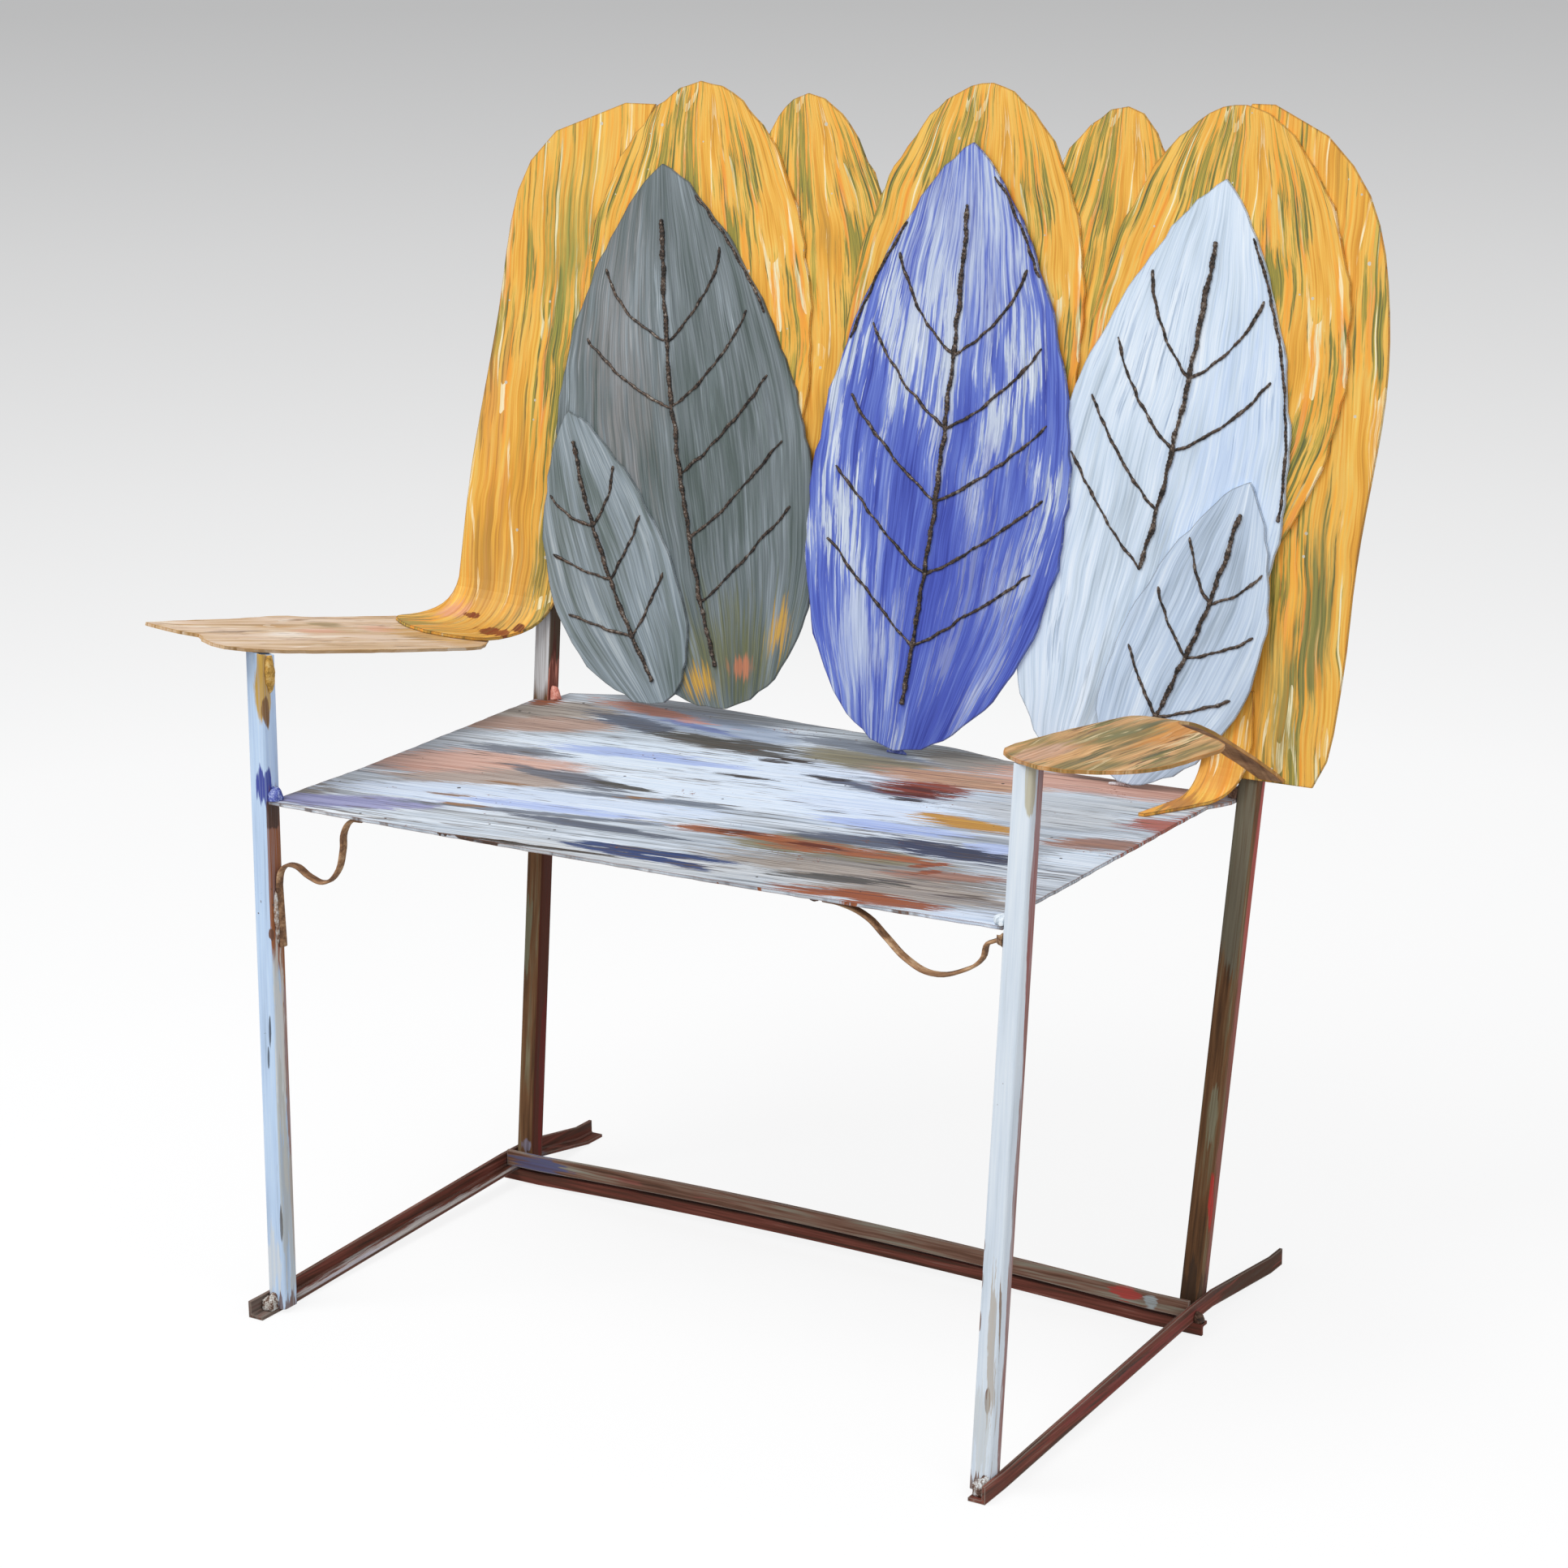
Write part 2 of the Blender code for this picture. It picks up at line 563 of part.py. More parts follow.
def build_wings(root):
    """The two side plates of the back, and the tongue bent forward on to the seat."""
    middle = layer_depth(0) + SHEET / 2
    arm_back = back_y(ARM_HEIGHT)
    bend = left_arm_under(post_x(-1, ARM_HEIGHT), arm_back) + FOOT_CURL
    outer = ((0.0, -0.874), (0.012, -0.977), (0.04, -1.107), (0.10, -1.20), (0.25, -1.246),
             (0.425, -1.305), (0.55, -1.325), (0.655, -1.342), (0.775, -1.362),
             (0.862, -1.36), (0.94, -1.33), (1.0, -1.26))
    inner = ((0.0, -0.782), (0.06, -0.847), (0.14, -0.917), (0.30, -0.966), (0.55, -0.995),
             (0.66, -1.035), (0.76, -1.085), (0.862, -1.12), (0.94, -1.15), (1.0, -1.20))
    rows = bent_rows(outer, inner, back_height(0.947), bend,
                     lambda x, y: left_arm_under(x, y) + 2 * FIT + SHEET * 1.6,
                     arm_back - FOOT_REACH, arm_back - FOOT_LENGTH, middle)
    add_sheet_grid("left_wing_plate", rows, MARIGOLD, root)

    top, foot = back_height(0.983), SEAT_TOP + RIGHT_FOOT_RISE
    outer = ((0.0, 0.966), (0.015, 1.037), (0.055, 1.132), (0.125, 1.224), (0.24, 1.286),
             (0.42, 1.308), (0.62, 1.278), (0.84, 1.262), (0.95, 1.246), (1.0, 1.21))
    inner = ((0.0, 0.904), (0.05, 0.858), (0.16, 0.896), (0.40, 0.955), (0.70, 0.95),
             (0.90, 0.928), (1.0, 0.982))
    rows = []
    for index in range(25):
        share = index / 24
        z = top + (foot - top) * share
        waver = torch_waver(z)
        near = smooth_line(inner, share) * HALF + waver
        far = smooth_line(outer, share) * HALF - waver
        rows.append([(near + (far - near) * column / 4, back_y(z, middle), z)
                     for column in range(5)])
    add_sheet_grid("right_wing_plate", rows, MARIGOLD, root)

    inner = ((0.0, 0.95), (0.3, 0.928), (0.6, 0.923), (0.86, 0.898), (1.0, 0.874))
    outer = ((0.0, 1.042), (0.3, 1.047), (0.6, 1.042), (0.86, 0.966), (1.0, 0.89))
    seat_back = back_y(SEAT_TOP)
    rows = bent_rows(outer, inner, SEAT_TOP + TONGUE_HEIGHT, SEAT_TOP + TONGUE_CURL,
                     lambda x, y: SEAT_TOP + FIT + SHEET / 2,
                     seat_back - TONGUE_REACH, seat_back - TONGUE_LENGTH,
                     layer_depth(1) + SHEET / 2)
    add_sheet_grid("right_wing_tongue", rows, MARIGOLD, root)


def back_place(across, up):
    """A point of the back's own plane from shares of the half span and of the back's length."""
    return across * HALF, BACK_FOOT + up * BACK_LENGTH


def build_leaves(back):
    """The flat plates of the back, in layers from the posts forward.

    Each has the places of its base and tip, its half width and sideways bow as shares of
    the half span, and its layer.
    """
    crest = (
        ("crest_leaf_1", (-0.516, 0.247), (-0.640, 0.985), 0.358, -0.033, 1),
        ("crest_leaf_2", (-0.231, 0.247), (-0.320, 0.974), 0.258, 0.022, 0),
        ("crest_leaf_3", (0.109, 0.247), (0.212, 1.0), 0.339, 0.016, 1),
        ("crest_leaf_4", (0.502, 0.247), (0.581, 0.974), 0.250, -0.016, 0),
        ("crest_leaf_5", (0.773, 0.247), (0.896, 0.983), 0.347, 0.033, 1),
    )
    for name, base, tip, half_width, bow, layer in crest:
        add_leaf_plate(name, back_place(*base), back_place(*tip), half_width * HALF, bow * HALF,
                       0.55, layer, MARIGOLD, back)
    front = (
        ("left_leaf", (-0.434, 0.026), (-0.738, 0.857), 0.402, -0.054, 2, 0.08, CHARCOAL),
        ("right_leaf", (0.583, 0.0065), (0.863, 0.877), 0.336, 0.043, 2, 0.36, PALE_BLUE),
        ("centre_leaf", (0.081, 0.0), (0.179, 0.912), 0.374, 0.027, 3, 0.08, COBALT),
        ("lower_left_leaf", (-0.619, 0.023), (-0.982, 0.465), 0.201, -0.038, 3, 0.08, CHARCOAL),
        ("lower_right_leaf", (0.711, 0.003), (0.993, 0.457), 0.190, 0.033, 3, 0.08, PALE_BLUE),
    )
    for name, base, tip, half_width, bow, layer, rib_start, hex_code in front:
        base, tip = back_place(*base), back_place(*tip)
        add_leaf_plate(name, base, tip, half_width * HALF, bow * HALF, 0.78, layer, hex_code, back)
        add_leaf_rib(name + "_rib", base, tip, bow * HALF, layer, rib_start, back)


def build_brackets(root):
    """The two bent strips between the seat's underside and the front posts.

    Their points are (in from the post's centre, down from the seat) in scroll sizes.
    """
    under = SEAT_TOP - SHEET - FIT - STRIP_THICK / 2
    stand = TUBE / 2 + STRIP_THICK / 2 + FIT * 2
    y = FRONT_LEAN * (SEAT_TOP - SCROLL / 2)
    scroll = ((1.13, 0.0), (1.00, 0.02), (0.91, 0.14), (0.89, 0.30), (0.81, 0.53), (0.66, 0.64),
              (0.50, 0.61), (0.33, 0.53), (0.20, 0.57))
    path = [(post_x(-1, SEAT_TOP) + SCROLL * along, under - SCROLL * down)
            for along, down in scroll]
    for down in (0.75, 1.32):
        z = under - SCROLL * down
        path.append((post_x(-1, z) + stand, z))
    add_bent_strip("left_scroll_bracket", path, y, RUST, root)
    scroll = ((1.78, 0.0), (1.61, 0.01), (1.37, 0.087), (1.21, 0.217), (1.00, 0.387),
              (0.77, 0.467), (0.49, 0.397), (0.31, 0.267), (0.26, 0.127))
    path = [(post_x(1, SEAT_TOP) - SCROLL * along, under - SCROLL * down)
            for along, down in scroll]
    z = under - SCROLL * 0.067
    path.append((post_x(1, z) - stand, z))
    add_bent_strip("right_scroll_bracket", path, y, OCHRE, root)


def build_welds(root):
    """Weld metal at the joints, each lump cut to the faces it lies on; sizes in tube widths."""
    seat_cut = ((0, 0, SEAT_TOP), (0, 0, -1))
    for side, word in ((-1, "left"), (1, "right")):
        seat_x = post_x(side, SEAT_TOP) - side * TUBE / 2
        inner_cut = ((seat_x, 0, SEAT_TOP), (side, 0, -SPLAY))
        front_colour = COBALT if side < 0 else PALE_BLUE
        add_blob(word + "_front_seat_weld", (seat_x, FRONT_LEAN * SEAT_TOP, SEAT_TOP),
                 (0.63, 0.53, 0.58), (seat_cut, inner_cut), front_colour, root)
        add_blob(word + "_rear_seat_weld", (seat_x, back_y(SEAT_TOP) + TUBE * 0.42, SEAT_TOP),
                 (0.63, 0.32, 0.68), (seat_cut, inner_cut), SALMON, root)
        foot_x = side * (RUNNER_INNER - TUBE * 0.34)
        wall_cut = ((side * RUNNER_INNER, 0, 0), (side, 0, 0))
        for word_end, top, y, into_post, size in (
                ("_front_foot_weld", ANGLE_WALL, -TUBE / 2, (0, 1, -FRONT_LEAN), 0.62),
                ("_rear_foot_weld", FLANGE_TOP - FIT, DEPTH + TUBE / 2, (0, -1, RAKE), 0.30)):
            flange_cut = ((0, 0, top), (0, 0, -1))
            fillet_cut = ((side * (RUNNER_INNER - ANGLE_FILLET), 0, top), (side, 0, -1))
            add_blob(word + word_end, (foot_x, y, top + TUBE * 0.15), (0.42, size, size),
                     (flange_cut, wall_cut, fillet_cut, ((0, y, 0), into_post)), RUST, root)

    end_z = RUNNER_LIFT - FIT
    add_blob("stretcher_end_weld", (RUNNER_OUTER, STRETCHER_FRONT + SMALL_LEG / 2, end_z),
             (0.58, 0.30, 0.47),
             (((RUNNER_OUTER, 0, 0), (-1, 0, 0)), ((0, 0, end_z), (0, 0, -1))), RUST, root)

    weld_z = ARM_HEIGHT - TUBE * 0.95
    weld_y = FRONT_LEAN * weld_z
    face_x = post_x(-1, weld_z) + TUBE / 2
    arm_point = (face_x, weld_y, left_arm_under(face_x, weld_y))
    add_blob("left_arm_weld", (face_x, weld_y, weld_z), (0.26, 0.37, 0.95),
             (((face_x, 0, weld_z), (-1, 0, -SPLAY)),
              (arm_point, (LEFT_ARM_TIP, LEFT_ARM_FALL, 1))), OCHRE, root)
    weld_z = ARM_HEIGHT - TUBE * 0.2
    weld_y = FRONT_LEAN * weld_z + TUBE / 2
    arm_point = (0, weld_y, right_arm_under(0, weld_y))
    add_blob("right_arm_weld", (post_x(1, weld_z), weld_y, weld_z), (0.37, 0.26, 0.37),
             (((0, weld_y, weld_z), (0, -1, FRONT_LEAN)),
              (arm_point, (0, RIGHT_ARM_FALL, 1))), RUST, root)

    strip_front = FRONT_LEAN * (SEAT_TOP - SCROLL / 2) - STRIP_WIDTH / 2
    strip_cut = ((0, strip_front, 0), (0, 1, 0))
    weld_z = SEAT_TOP - SCROLL * 1.09
    face_x = post_x(-1, weld_z) + TUBE / 2
    add_blob("left_bracket_weld", (face_x, strip_front, weld_z), (0.21, 0.21, 1.37),
             (((face_x, 0, weld_z), (-1, 0, -SPLAY)), strip_cut), RUST, root)
    weld_z = SEAT_TOP - SCROLL * 0.115
    face_x = post_x(1, weld_z) - TUBE / 2
    add_blob("right_bracket_weld", (face_x, strip_front, weld_z), (0.32, 0.21, 0.32),
             (((face_x, 0, weld_z), (1, 0, -SPLAY)), strip_cut), PALE_BLUE, root)

    rear = back_y(SEAT_TOP, layer_depth(3))
    for word, across in (("centre", 0.087), ("right", 0.716)):
        add_blob(word + "_leaf_weld", (across * HALF, rear, SEAT_TOP), (0.63, 0.26, 0.26),
                 (seat_cut, ((0, rear, SEAT_TOP), (0, -1, RAKE))), BEAD, root)

    weld_z = back_height(0.52)
    weld_y = back_y(weld_z, FIT)
    for side, word in ((-1, "left"), (1, "right")):
        face_x = post_x(side, weld_z) - side * TUBE / 2
        add_blob(word + "_wing_weld", (face_x, weld_y, weld_z), (0.32, 0.32, 1.58),
                 (((face_x, 0, weld_z), (side, 0, -SPLAY)), ((0, weld_y, weld_z), (0, -1, RAKE))),
                 BEAD, root)


def centre_on_origin(root):
    """Moves the whole bench so that the origin is at the middle of its underside."""
    bpy.context.view_layer.update()
    corners = [obj.matrix_world @ Vector(corner) for obj in root.children_recursive
               if obj.type in {"MESH", "CURVE"} for corner in obj.bound_box]
    for axis in (0, 1):
        values = [corner[axis] for corner in corners]
        root.location[axis] = -(min(values) + max(values)) / 2


def main():
    for obj in list(bpy.data.objects):
        bpy.data.objects.remove(obj, do_unlink=True)
    root = bpy.data.objects.new("bench", None)
    back = bpy.data.objects.new("back_plane", None)
    for empty in (root, back):
        bpy.context.scene.collection.objects.link(empty)
    back.parent = root
    back.location = (0, REAR_FACE, 0)
    back.rotation_euler.x = -math.atan(RAKE)
    build_frame(root)
    build_seat(root)
    build_arms(root)
    build_wings(root)
    build_leaves(back)
    build_brackets(root)
    build_welds(root)
    centre_on_origin(root)


main()
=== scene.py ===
"""The bench dressed for its picture: brushed paint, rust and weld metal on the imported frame.

Metres, +Z up. The sitter faces -Y, and +X is on the right of someone who looks at the front.
"""

import math
import random
from collections import namedtuple

import bmesh
import bpy
from mathutils import Matrix, Vector, noise


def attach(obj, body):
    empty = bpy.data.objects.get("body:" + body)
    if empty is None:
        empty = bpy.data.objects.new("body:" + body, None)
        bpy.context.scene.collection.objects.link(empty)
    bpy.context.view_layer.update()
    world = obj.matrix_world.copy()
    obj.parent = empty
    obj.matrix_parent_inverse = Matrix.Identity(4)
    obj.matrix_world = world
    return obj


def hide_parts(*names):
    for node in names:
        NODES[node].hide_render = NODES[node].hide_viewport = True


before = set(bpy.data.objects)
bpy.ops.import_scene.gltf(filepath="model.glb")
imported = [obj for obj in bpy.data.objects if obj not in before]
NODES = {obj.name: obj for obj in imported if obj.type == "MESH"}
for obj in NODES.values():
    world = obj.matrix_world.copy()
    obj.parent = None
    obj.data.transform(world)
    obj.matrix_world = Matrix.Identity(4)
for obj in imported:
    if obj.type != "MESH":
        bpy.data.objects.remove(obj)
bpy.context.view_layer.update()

# The bench's own places, in the row frame
MIDDLE_X = 0.011877
HALF_SPAN = 0.3685
SPLAY = 0.030
FRONT_FOOT_Y = -0.265
FRONT_LEAN = 0.052
REAR_FOOT_Y = 0.125
RAKE = 0.147
SEAT_TOP = 0.4815
SEAT_FRONT_Y = -0.2485
SHEET = 0.003
HALF_TUBE = 0.0095
FIT = 0.0003
BACK_FACE_Y = 0.1155
BACK_FOOT = 0.4873
BACK_LENGTH = 0.619

RIGHT = Vector((1, 0, 0))
AWAY = Vector((0, 1, 0))
UP = Vector((0, 0, 1))
UP_RAKE = Vector((0, RAKE, 1)).normalized()
OFF_BACK = Vector((0, -1, RAKE)).normalized()
ROUND_THE_BEND = Vector((0, 1, 1 - RAKE))
ARM_STROKE = Vector((-0.05, 1, 0))
SEAT_STROKE = RIGHT + AWAY * 0.09
FRONT_POST_LINE = {-1: Vector((-SPLAY, FRONT_LEAN, 1)), 1: Vector((SPLAY, FRONT_LEAN, 1))}
REAR_POST_LINE = {-1: Vector((-SPLAY, RAKE, 1)), 1: Vector((SPLAY, RAKE, 1))}

# Brush and wear, as widths and lengths of the marks that they leave
BRUSH_MARK = (0.013, 0.17)
BRISTLE_LINE = (0.0019, 0.11)
TORN_END = (0.005, 0.09)
COAT_PATCH = (0.045, 0.17)
CREAM_LINE = (0.040, 0.30)
SCUFF = (0.0026, 0.05)
DRIFT = 0.07
SPLASH_SPACING = 0.012
CHIP = 0.0035
WEAR_PATCH = 0.06
RUST_BLOTCH = 0.05
EDGE_REACH = 0.0022

# Strokes on the seat: how far they slip from their slant in degrees, the shares of their length
# that they vary between, and the seed of the draw that strews them
STROKE_SLIP = 5
STROKE_CHANGE = (0.8, 1.2)
SEAT_SEED = 4

# Weld bead: radii, step and ripple, the lumps and waves in a metre of it, its flattened height and ends
MIDRIB = 0.0022
VEIN = 0.0014
BEAD_STEP = 0.0011
BEAD_RIPPLE = 0.15
BEAD_SWELL = 0.60
BEAD_SWAY = 0.0020
BEAD_TURN = 1.9
BEAD_LUMPS = 140
BEAD_WAVES = 70
BEAD_HEIGHT = 0.8
BEAD_END = 0.5
SEAM_INSET = 0.006

# Midribs and veins: where ribs end along a leaf, how far beads lie off it, how veins rise and reach
RIB_TOP = 0.9
RIB_LIFT = 0.0010
VEIN_LIFT = 0.0004
VEIN_RISE = 0.15
VEIN_CURVE = 1.2
VEIN_REACH = 0.8
LONG_LEAF = 0.4
LONG_VEIN_STEPS = 70
SHORT_VEIN_STEPS = 36

# Laid metal: height and spacing of its knobs, with finer pits on them, and the size of a slag drop
WELD_KNOB = (0.0007, 0.004)
SLAG_KNOB = (0.0008, 0.003)
PIT_SHARE = 0.5
PIT_FINENESS = 2.3
SLAG_SIZE = (0.0045, 0.0030, 0.0030)

# Camera, fitted to the legs, runners and seat: azimuth, elevation and roll in degrees, aim and lens
CAMERA_TURN = (31.77519, 15.16702, -0.49091)
CAMERA_AIM = Vector((0.0750, -0.07500, 0.5158))
CAMERA_DISTANCE = 3.18039
CAMERA_LENS = 83.857
CAMERA_SENSOR = 36.0

# Studio: the floor's half size and drop, and the eye's height and reach, by which the floor greys
FLOOR_HALF = 60
FLOOR_DROP = 0.0004
EYE_HEIGHT = 1.348
EYE_REACH = 3.17
FLOOR_GLOW = 0.85
LAMP_AIM = Vector((0, 0, 0.5))

# Paints: the stops that their streaks run through
MARIGOLD = ((0.30, "C08F3C"), (0.39, "DFA23C"), (0.46, "EBB14C"), (0.52, "E9BC5C"), (0.58, "F0A63C"),
            (0.64, "E79A4C"), (0.72, "F3D692"))
OLIVE = ((0.34, "666A46"), (0.46, "85823F"), (0.56, "A8943F"), (0.68, "C7A94E"))
CHARCOAL = ((0.32, "56615F"), (0.44, "687273"), (0.54, "737C7F"), (0.68, "8A9499"))
BLUE_GREY = ((0.32, "64706E"), (0.44, "7D888B"), (0.54, "8D99A0"), (0.68, "A9B3B7"))
COBALT = ((0.30, "3B48A0"), (0.42, "4E5FB8"), (0.52, "6073C4"), (0.62, "7F90D0"), (0.72, "A3B2DD"))
DUSTY_WHITE = ((0.34, "A3AEC6"), (0.46, "BCC7DA"), (0.56, "CAD4E3"), (0.68, "D8E0EA"))
PALE_BLUE = ((0.32, "B4C2CF"), (0.44, "C8D7E6"), (0.54, "D3E1F0"), (0.68, "E0EAF4"))
PALE_GREY = ((0.32, "A3B2C2"), (0.44, "B7C7DA"), (0.54, "C2D2E5"), (0.68, "D2DEEB"))
POST_BLUE = ((0.30, "AEC2D8"), (0.42, "BFD5F0"), (0.55, "C7DEF8"), (0.70, "D6E6F8"))
POST_WHITE = ((0.30, "CBD6DF"), (0.42, "D8E3EE"), (0.55, "E0EAF3"), (0.70, "E8F0F6"))
TAN = ((0.30, "AA8C66"), (0.40, "CCAC86"), (0.48, "D9BE9F"), (0.56, "DDC3AC"), (0.66, "ECDCC6"))
WHEAT = ((0.34, "B98F5E"), (0.48, "D3AE7E"), (0.60, "E3CDB0"), (0.70, "F0E2CE"))
MOSS = ((0.34, "66653C"), (0.48, "82794A"), (0.60, "A08E58"), (0.70, "B9A06A"))
OLIVE_OCHRE = ((0.30, "716B42"), (0.40, "9C8450"), (0.49, "BE9664"), (0.57, "CFA06C"), (0.68, "DCC094"))
RUSTY = ((0.32, "44301F"), (0.44, "67472D"), (0.53, "7A5638"), (0.61, "7B694E"), (0.70, "8B8468"))
RED_RUST = ((0.32, "3A231A"), (0.44, "5C382B"), (0.53, "733F33"), (0.62, "834C40"), (0.70, "94796B"))
GREY_RUST = ((0.32, "4C372A"), (0.42, "755241"), (0.51, "8D6C5B"), (0.60, "968B7A"), (0.70, "A8A698"))
SCALE_BROWN = ((0.32, "5E4434"), (0.45, "8A674C"), (0.54, "AA8260"), (0.66, "CBA985"))
SEAT_GREY = ((0.32, "85898E"), (0.42, "A6ADB4"), (0.51, "BEC8D2"), (0.60, "D0DAE4"), (0.70, "DCE4EB"))
PRIMER = ((0.34, "46342B"), (0.44, "6A4E40"), (0.50, "78685E"), (0.56, "867C74"), (0.66, "9A948C"))
BEAD_STEEL = ((0.34, "241F1C"), (0.46, "3D3733"), (0.56, "5C4A3E"), (0.68, "8C8780"))

Dab = namedtuple("Dab", "shade at width length along ragged cover face soft",
                 defaults=(UP, 0.4, 1.0, None, 0.10))
Leaf = namedtuple("Leaf", "base tip half_width bow layer taper")


def srgb(hex_code):
    """A hex colour as the linear values that a shader takes."""
    shares = [int(hex_code[i:i + 2], 16) / 255 for i in (0, 2, 4)]
    linear = [s / 12.92 if s <= 0.04045 else ((s + 0.055) / 1.055) ** 2.4 for s in shares]
    return (*linear, 1.0)


def on_back(across, up, out=0.0):
    """A point of the raked back: across from the middle, up the rake, out from the posts."""
    return Vector((MIDDLE_X + across, BACK_FACE_Y, 0)) + UP_RAKE * up + OFF_BACK * out


def back_leaf(base, tip, half_width, bow, layer, taper):
    """A leaf plate from shares of the half span and of the back's length."""
    (base_x, base_up), (tip_x, tip_up) = base, tip
    return Leaf(Vector((base_x * HALF_SPAN, BACK_FOOT + base_up * BACK_LENGTH)),
                Vector((tip_x * HALF_SPAN, BACK_FOOT + tip_up * BACK_LENGTH)),
                half_width * HALF_SPAN, bow * HALF_SPAN, layer, taper)


LEAVES = {
    "crest_leaf_1": back_leaf((-0.516, 0.247), (-0.640, 0.985), 0.358, -0.033, 1, 0.55),
    "crest_leaf_2": back_leaf((-0.231, 0.247), (-0.320, 0.974), 0.258, 0.022, 0, 0.55),
    "crest_leaf_3": back_leaf((0.109, 0.247), (0.212, 1.0), 0.339, 0.016, 1, 0.55),
    "crest_leaf_4": back_leaf((0.502, 0.247), (0.581, 0.974), 0.250, -0.016, 0, 0.55),
    "crest_leaf_5": back_leaf((0.773, 0.247), (0.896, 0.983), 0.347, 0.033, 1, 0.55),
    "left_leaf": back_leaf((-0.434, 0.026), (-0.738, 0.857), 0.402, -0.054, 2, 0.78),
    "right_leaf": back_leaf((0.583, 0.0065), (0.863, 0.877), 0.336, 0.043, 2, 0.78),
    "centre_leaf": back_leaf((0.081, 0.0), (0.179, 0.912), 0.374, 0.027, 3, 0.78),
    "lower_left_leaf": back_leaf((-0.619, 0.023), (-0.982, 0.465), 0.201, -0.038, 3, 0.78),
    "lower_right_leaf": back_leaf((0.711, 0.003), (0.993, 0.457), 0.190, 0.033, 3, 0.78),
}
LEAF_RISE = 0.55


def leaf_point(leaf, t, share, out=0.0, inset=0.0):
    """A point at t along a leaf and at a share of its half width there, out from its face.

    inset draws the point in towards the midrib, as the freehand cut does at the edge.
    """
    along = leaf.tip - leaf.base
    across = Vector((along.y, -along.x)).normalized()
    widest = LEAF_RISE / (LEAF_RISE + leaf.taper)
    scale = leaf.half_width / (widest ** LEAF_RISE * (1 - widest) ** leaf.taper)
    width = scale * t ** LEAF_RISE * (1 - t) ** leaf.taper - inset
    flat = leaf.base + along * t + across * (leaf.bow * 4 * t * (1 - t) + share * width)
    face = FIT + leaf.layer * (SHEET + FIT) + SHEET
    return on_back(flat.x, flat.y, face + out)


def leaf_dab(shade, leaf, t, share, width, length, ragged=0.5, cover=0.9, soft=0.3):
    """A patch of paint brushed along a leaf, about a place on its face."""
    along = leaf_point(leaf, min(t + 0.05, 0.99), share) - leaf_point(leaf, max(t - 0.05, 0.01), share)
    return Dab(shade, leaf_point(leaf, t, share), width, length, along, ragged, cover, OFF_BACK, soft)


def add(tree, kind, inputs=None, stops=(), **settings):
    """One shader node; an input takes a plain value or the output of another node."""
    node = tree.nodes.new("ShaderNode" + kind)
    for setting, value in settings.items():
        setattr(node, setting, value)
    for socket, value in (inputs or {}).items():
        if isinstance(value, bpy.types.NodeSocket):
            tree.links.new(value, node.inputs[socket])
        else:
            node.inputs[socket].default_value = value
    if stops:
        ramp = node.color_ramp.elements
        ramp[0].position, ramp[-1].position = stops[0][0], stops[-1][0]
        for position, _ in stops[1:-1]:
            ramp.new(position)
        for stop, (_, shade) in zip(ramp, stops):
            stop.color = srgb(shade)
    return node


def turn_to(across, along):
    """The turn that lays a pattern's X along one direction and its Z along another."""
    lift = Vector(along).normalized()
    level = (Vector(across) - lift * lift.dot(Vector(across))).normalized()
    return Matrix((level, lift.cross(level), lift)).transposed().to_euler()


def straight(along, across=RIGHT, wander=0.004, through=True):
    """Brush strokes that run along one direction with a slight wander.

    Without through, the strokes don't change with depth, so that they follow a bent sheet.
    """
    def flow(tree, place):
        drift = add(tree, "TexNoise", {"Vector": place, "Scale": 1 / DRIFT, "Detail": 1.0})
        drawn = add(tree, "VectorMath", {0: drift.outputs["Color"], 1: (wander,) * 3, 2: place},
                    operation="MULTIPLY_ADD").outputs[0]
        return add(tree, "Mapping", {"Vector": drawn, "Rotation": turn_to(across, along),
                                     "Scale": (1, 1 if through else 1000, 1)},
                   vector_type="TEXTURE").outputs[0]
    return flow


def leafwise(leaf, wander=0.008):
    """Brush strokes that leave a leaf's base, follow its outline and close up at its tip."""
    along = leaf.tip - leaf.base
    lift = RIGHT * along.x + UP_RAKE * along.y
    across = RIGHT * along.y - UP_RAKE * along.x

    def flow(tree, place):
        drift = add(tree, "TexNoise", {"Vector": place, "Scale": 1 / DRIFT, "Detail": 1.0})
        drawn = add(tree, "VectorMath", {0: drift.outputs["Color"], 1: (wander,) * 3, 2: place},
                    operation="MULTIPLY_ADD").outputs[0]
        own = add(tree, "Mapping", {"Vector": drawn, "Rotation": turn_to(across, lift),
                                    "Location": on_back(leaf.base.x, leaf.base.y)},
                  vector_type="TEXTURE")
        parts = add(tree, "SeparateXYZ", {0: own.outputs[0]}).outputs
        t = add(tree, "MapRange", {"Value": parts["Z"], "From Max": along.length,
                                   "To Min": 0.02, "To Max": 0.98}).outputs["Result"]
        rest = add(tree, "Math", {0: 1.0, 1: t}, operation="SUBTRACT").outputs[0]
        hump = add(tree, "Math", {0: t, 1: rest}, operation="MULTIPLY").outputs[0]
        middle = add(tree, "Math", {0: hump, 1: -4 * leaf.bow, 2: parts["X"]},
                     operation="MULTIPLY_ADD").outputs[0]
        swell = add(tree, "Math", {0: hump, 1: 2.6, 2: 0.35}, operation="MULTIPLY_ADD").outputs[0]
        spread = add(tree, "Math", {0: middle, 1: swell}, operation="DIVIDE").outputs[0]
        return add(tree, "CombineXYZ", {0: spread, 2: parts["Z"]}).outputs[0]
    return flow


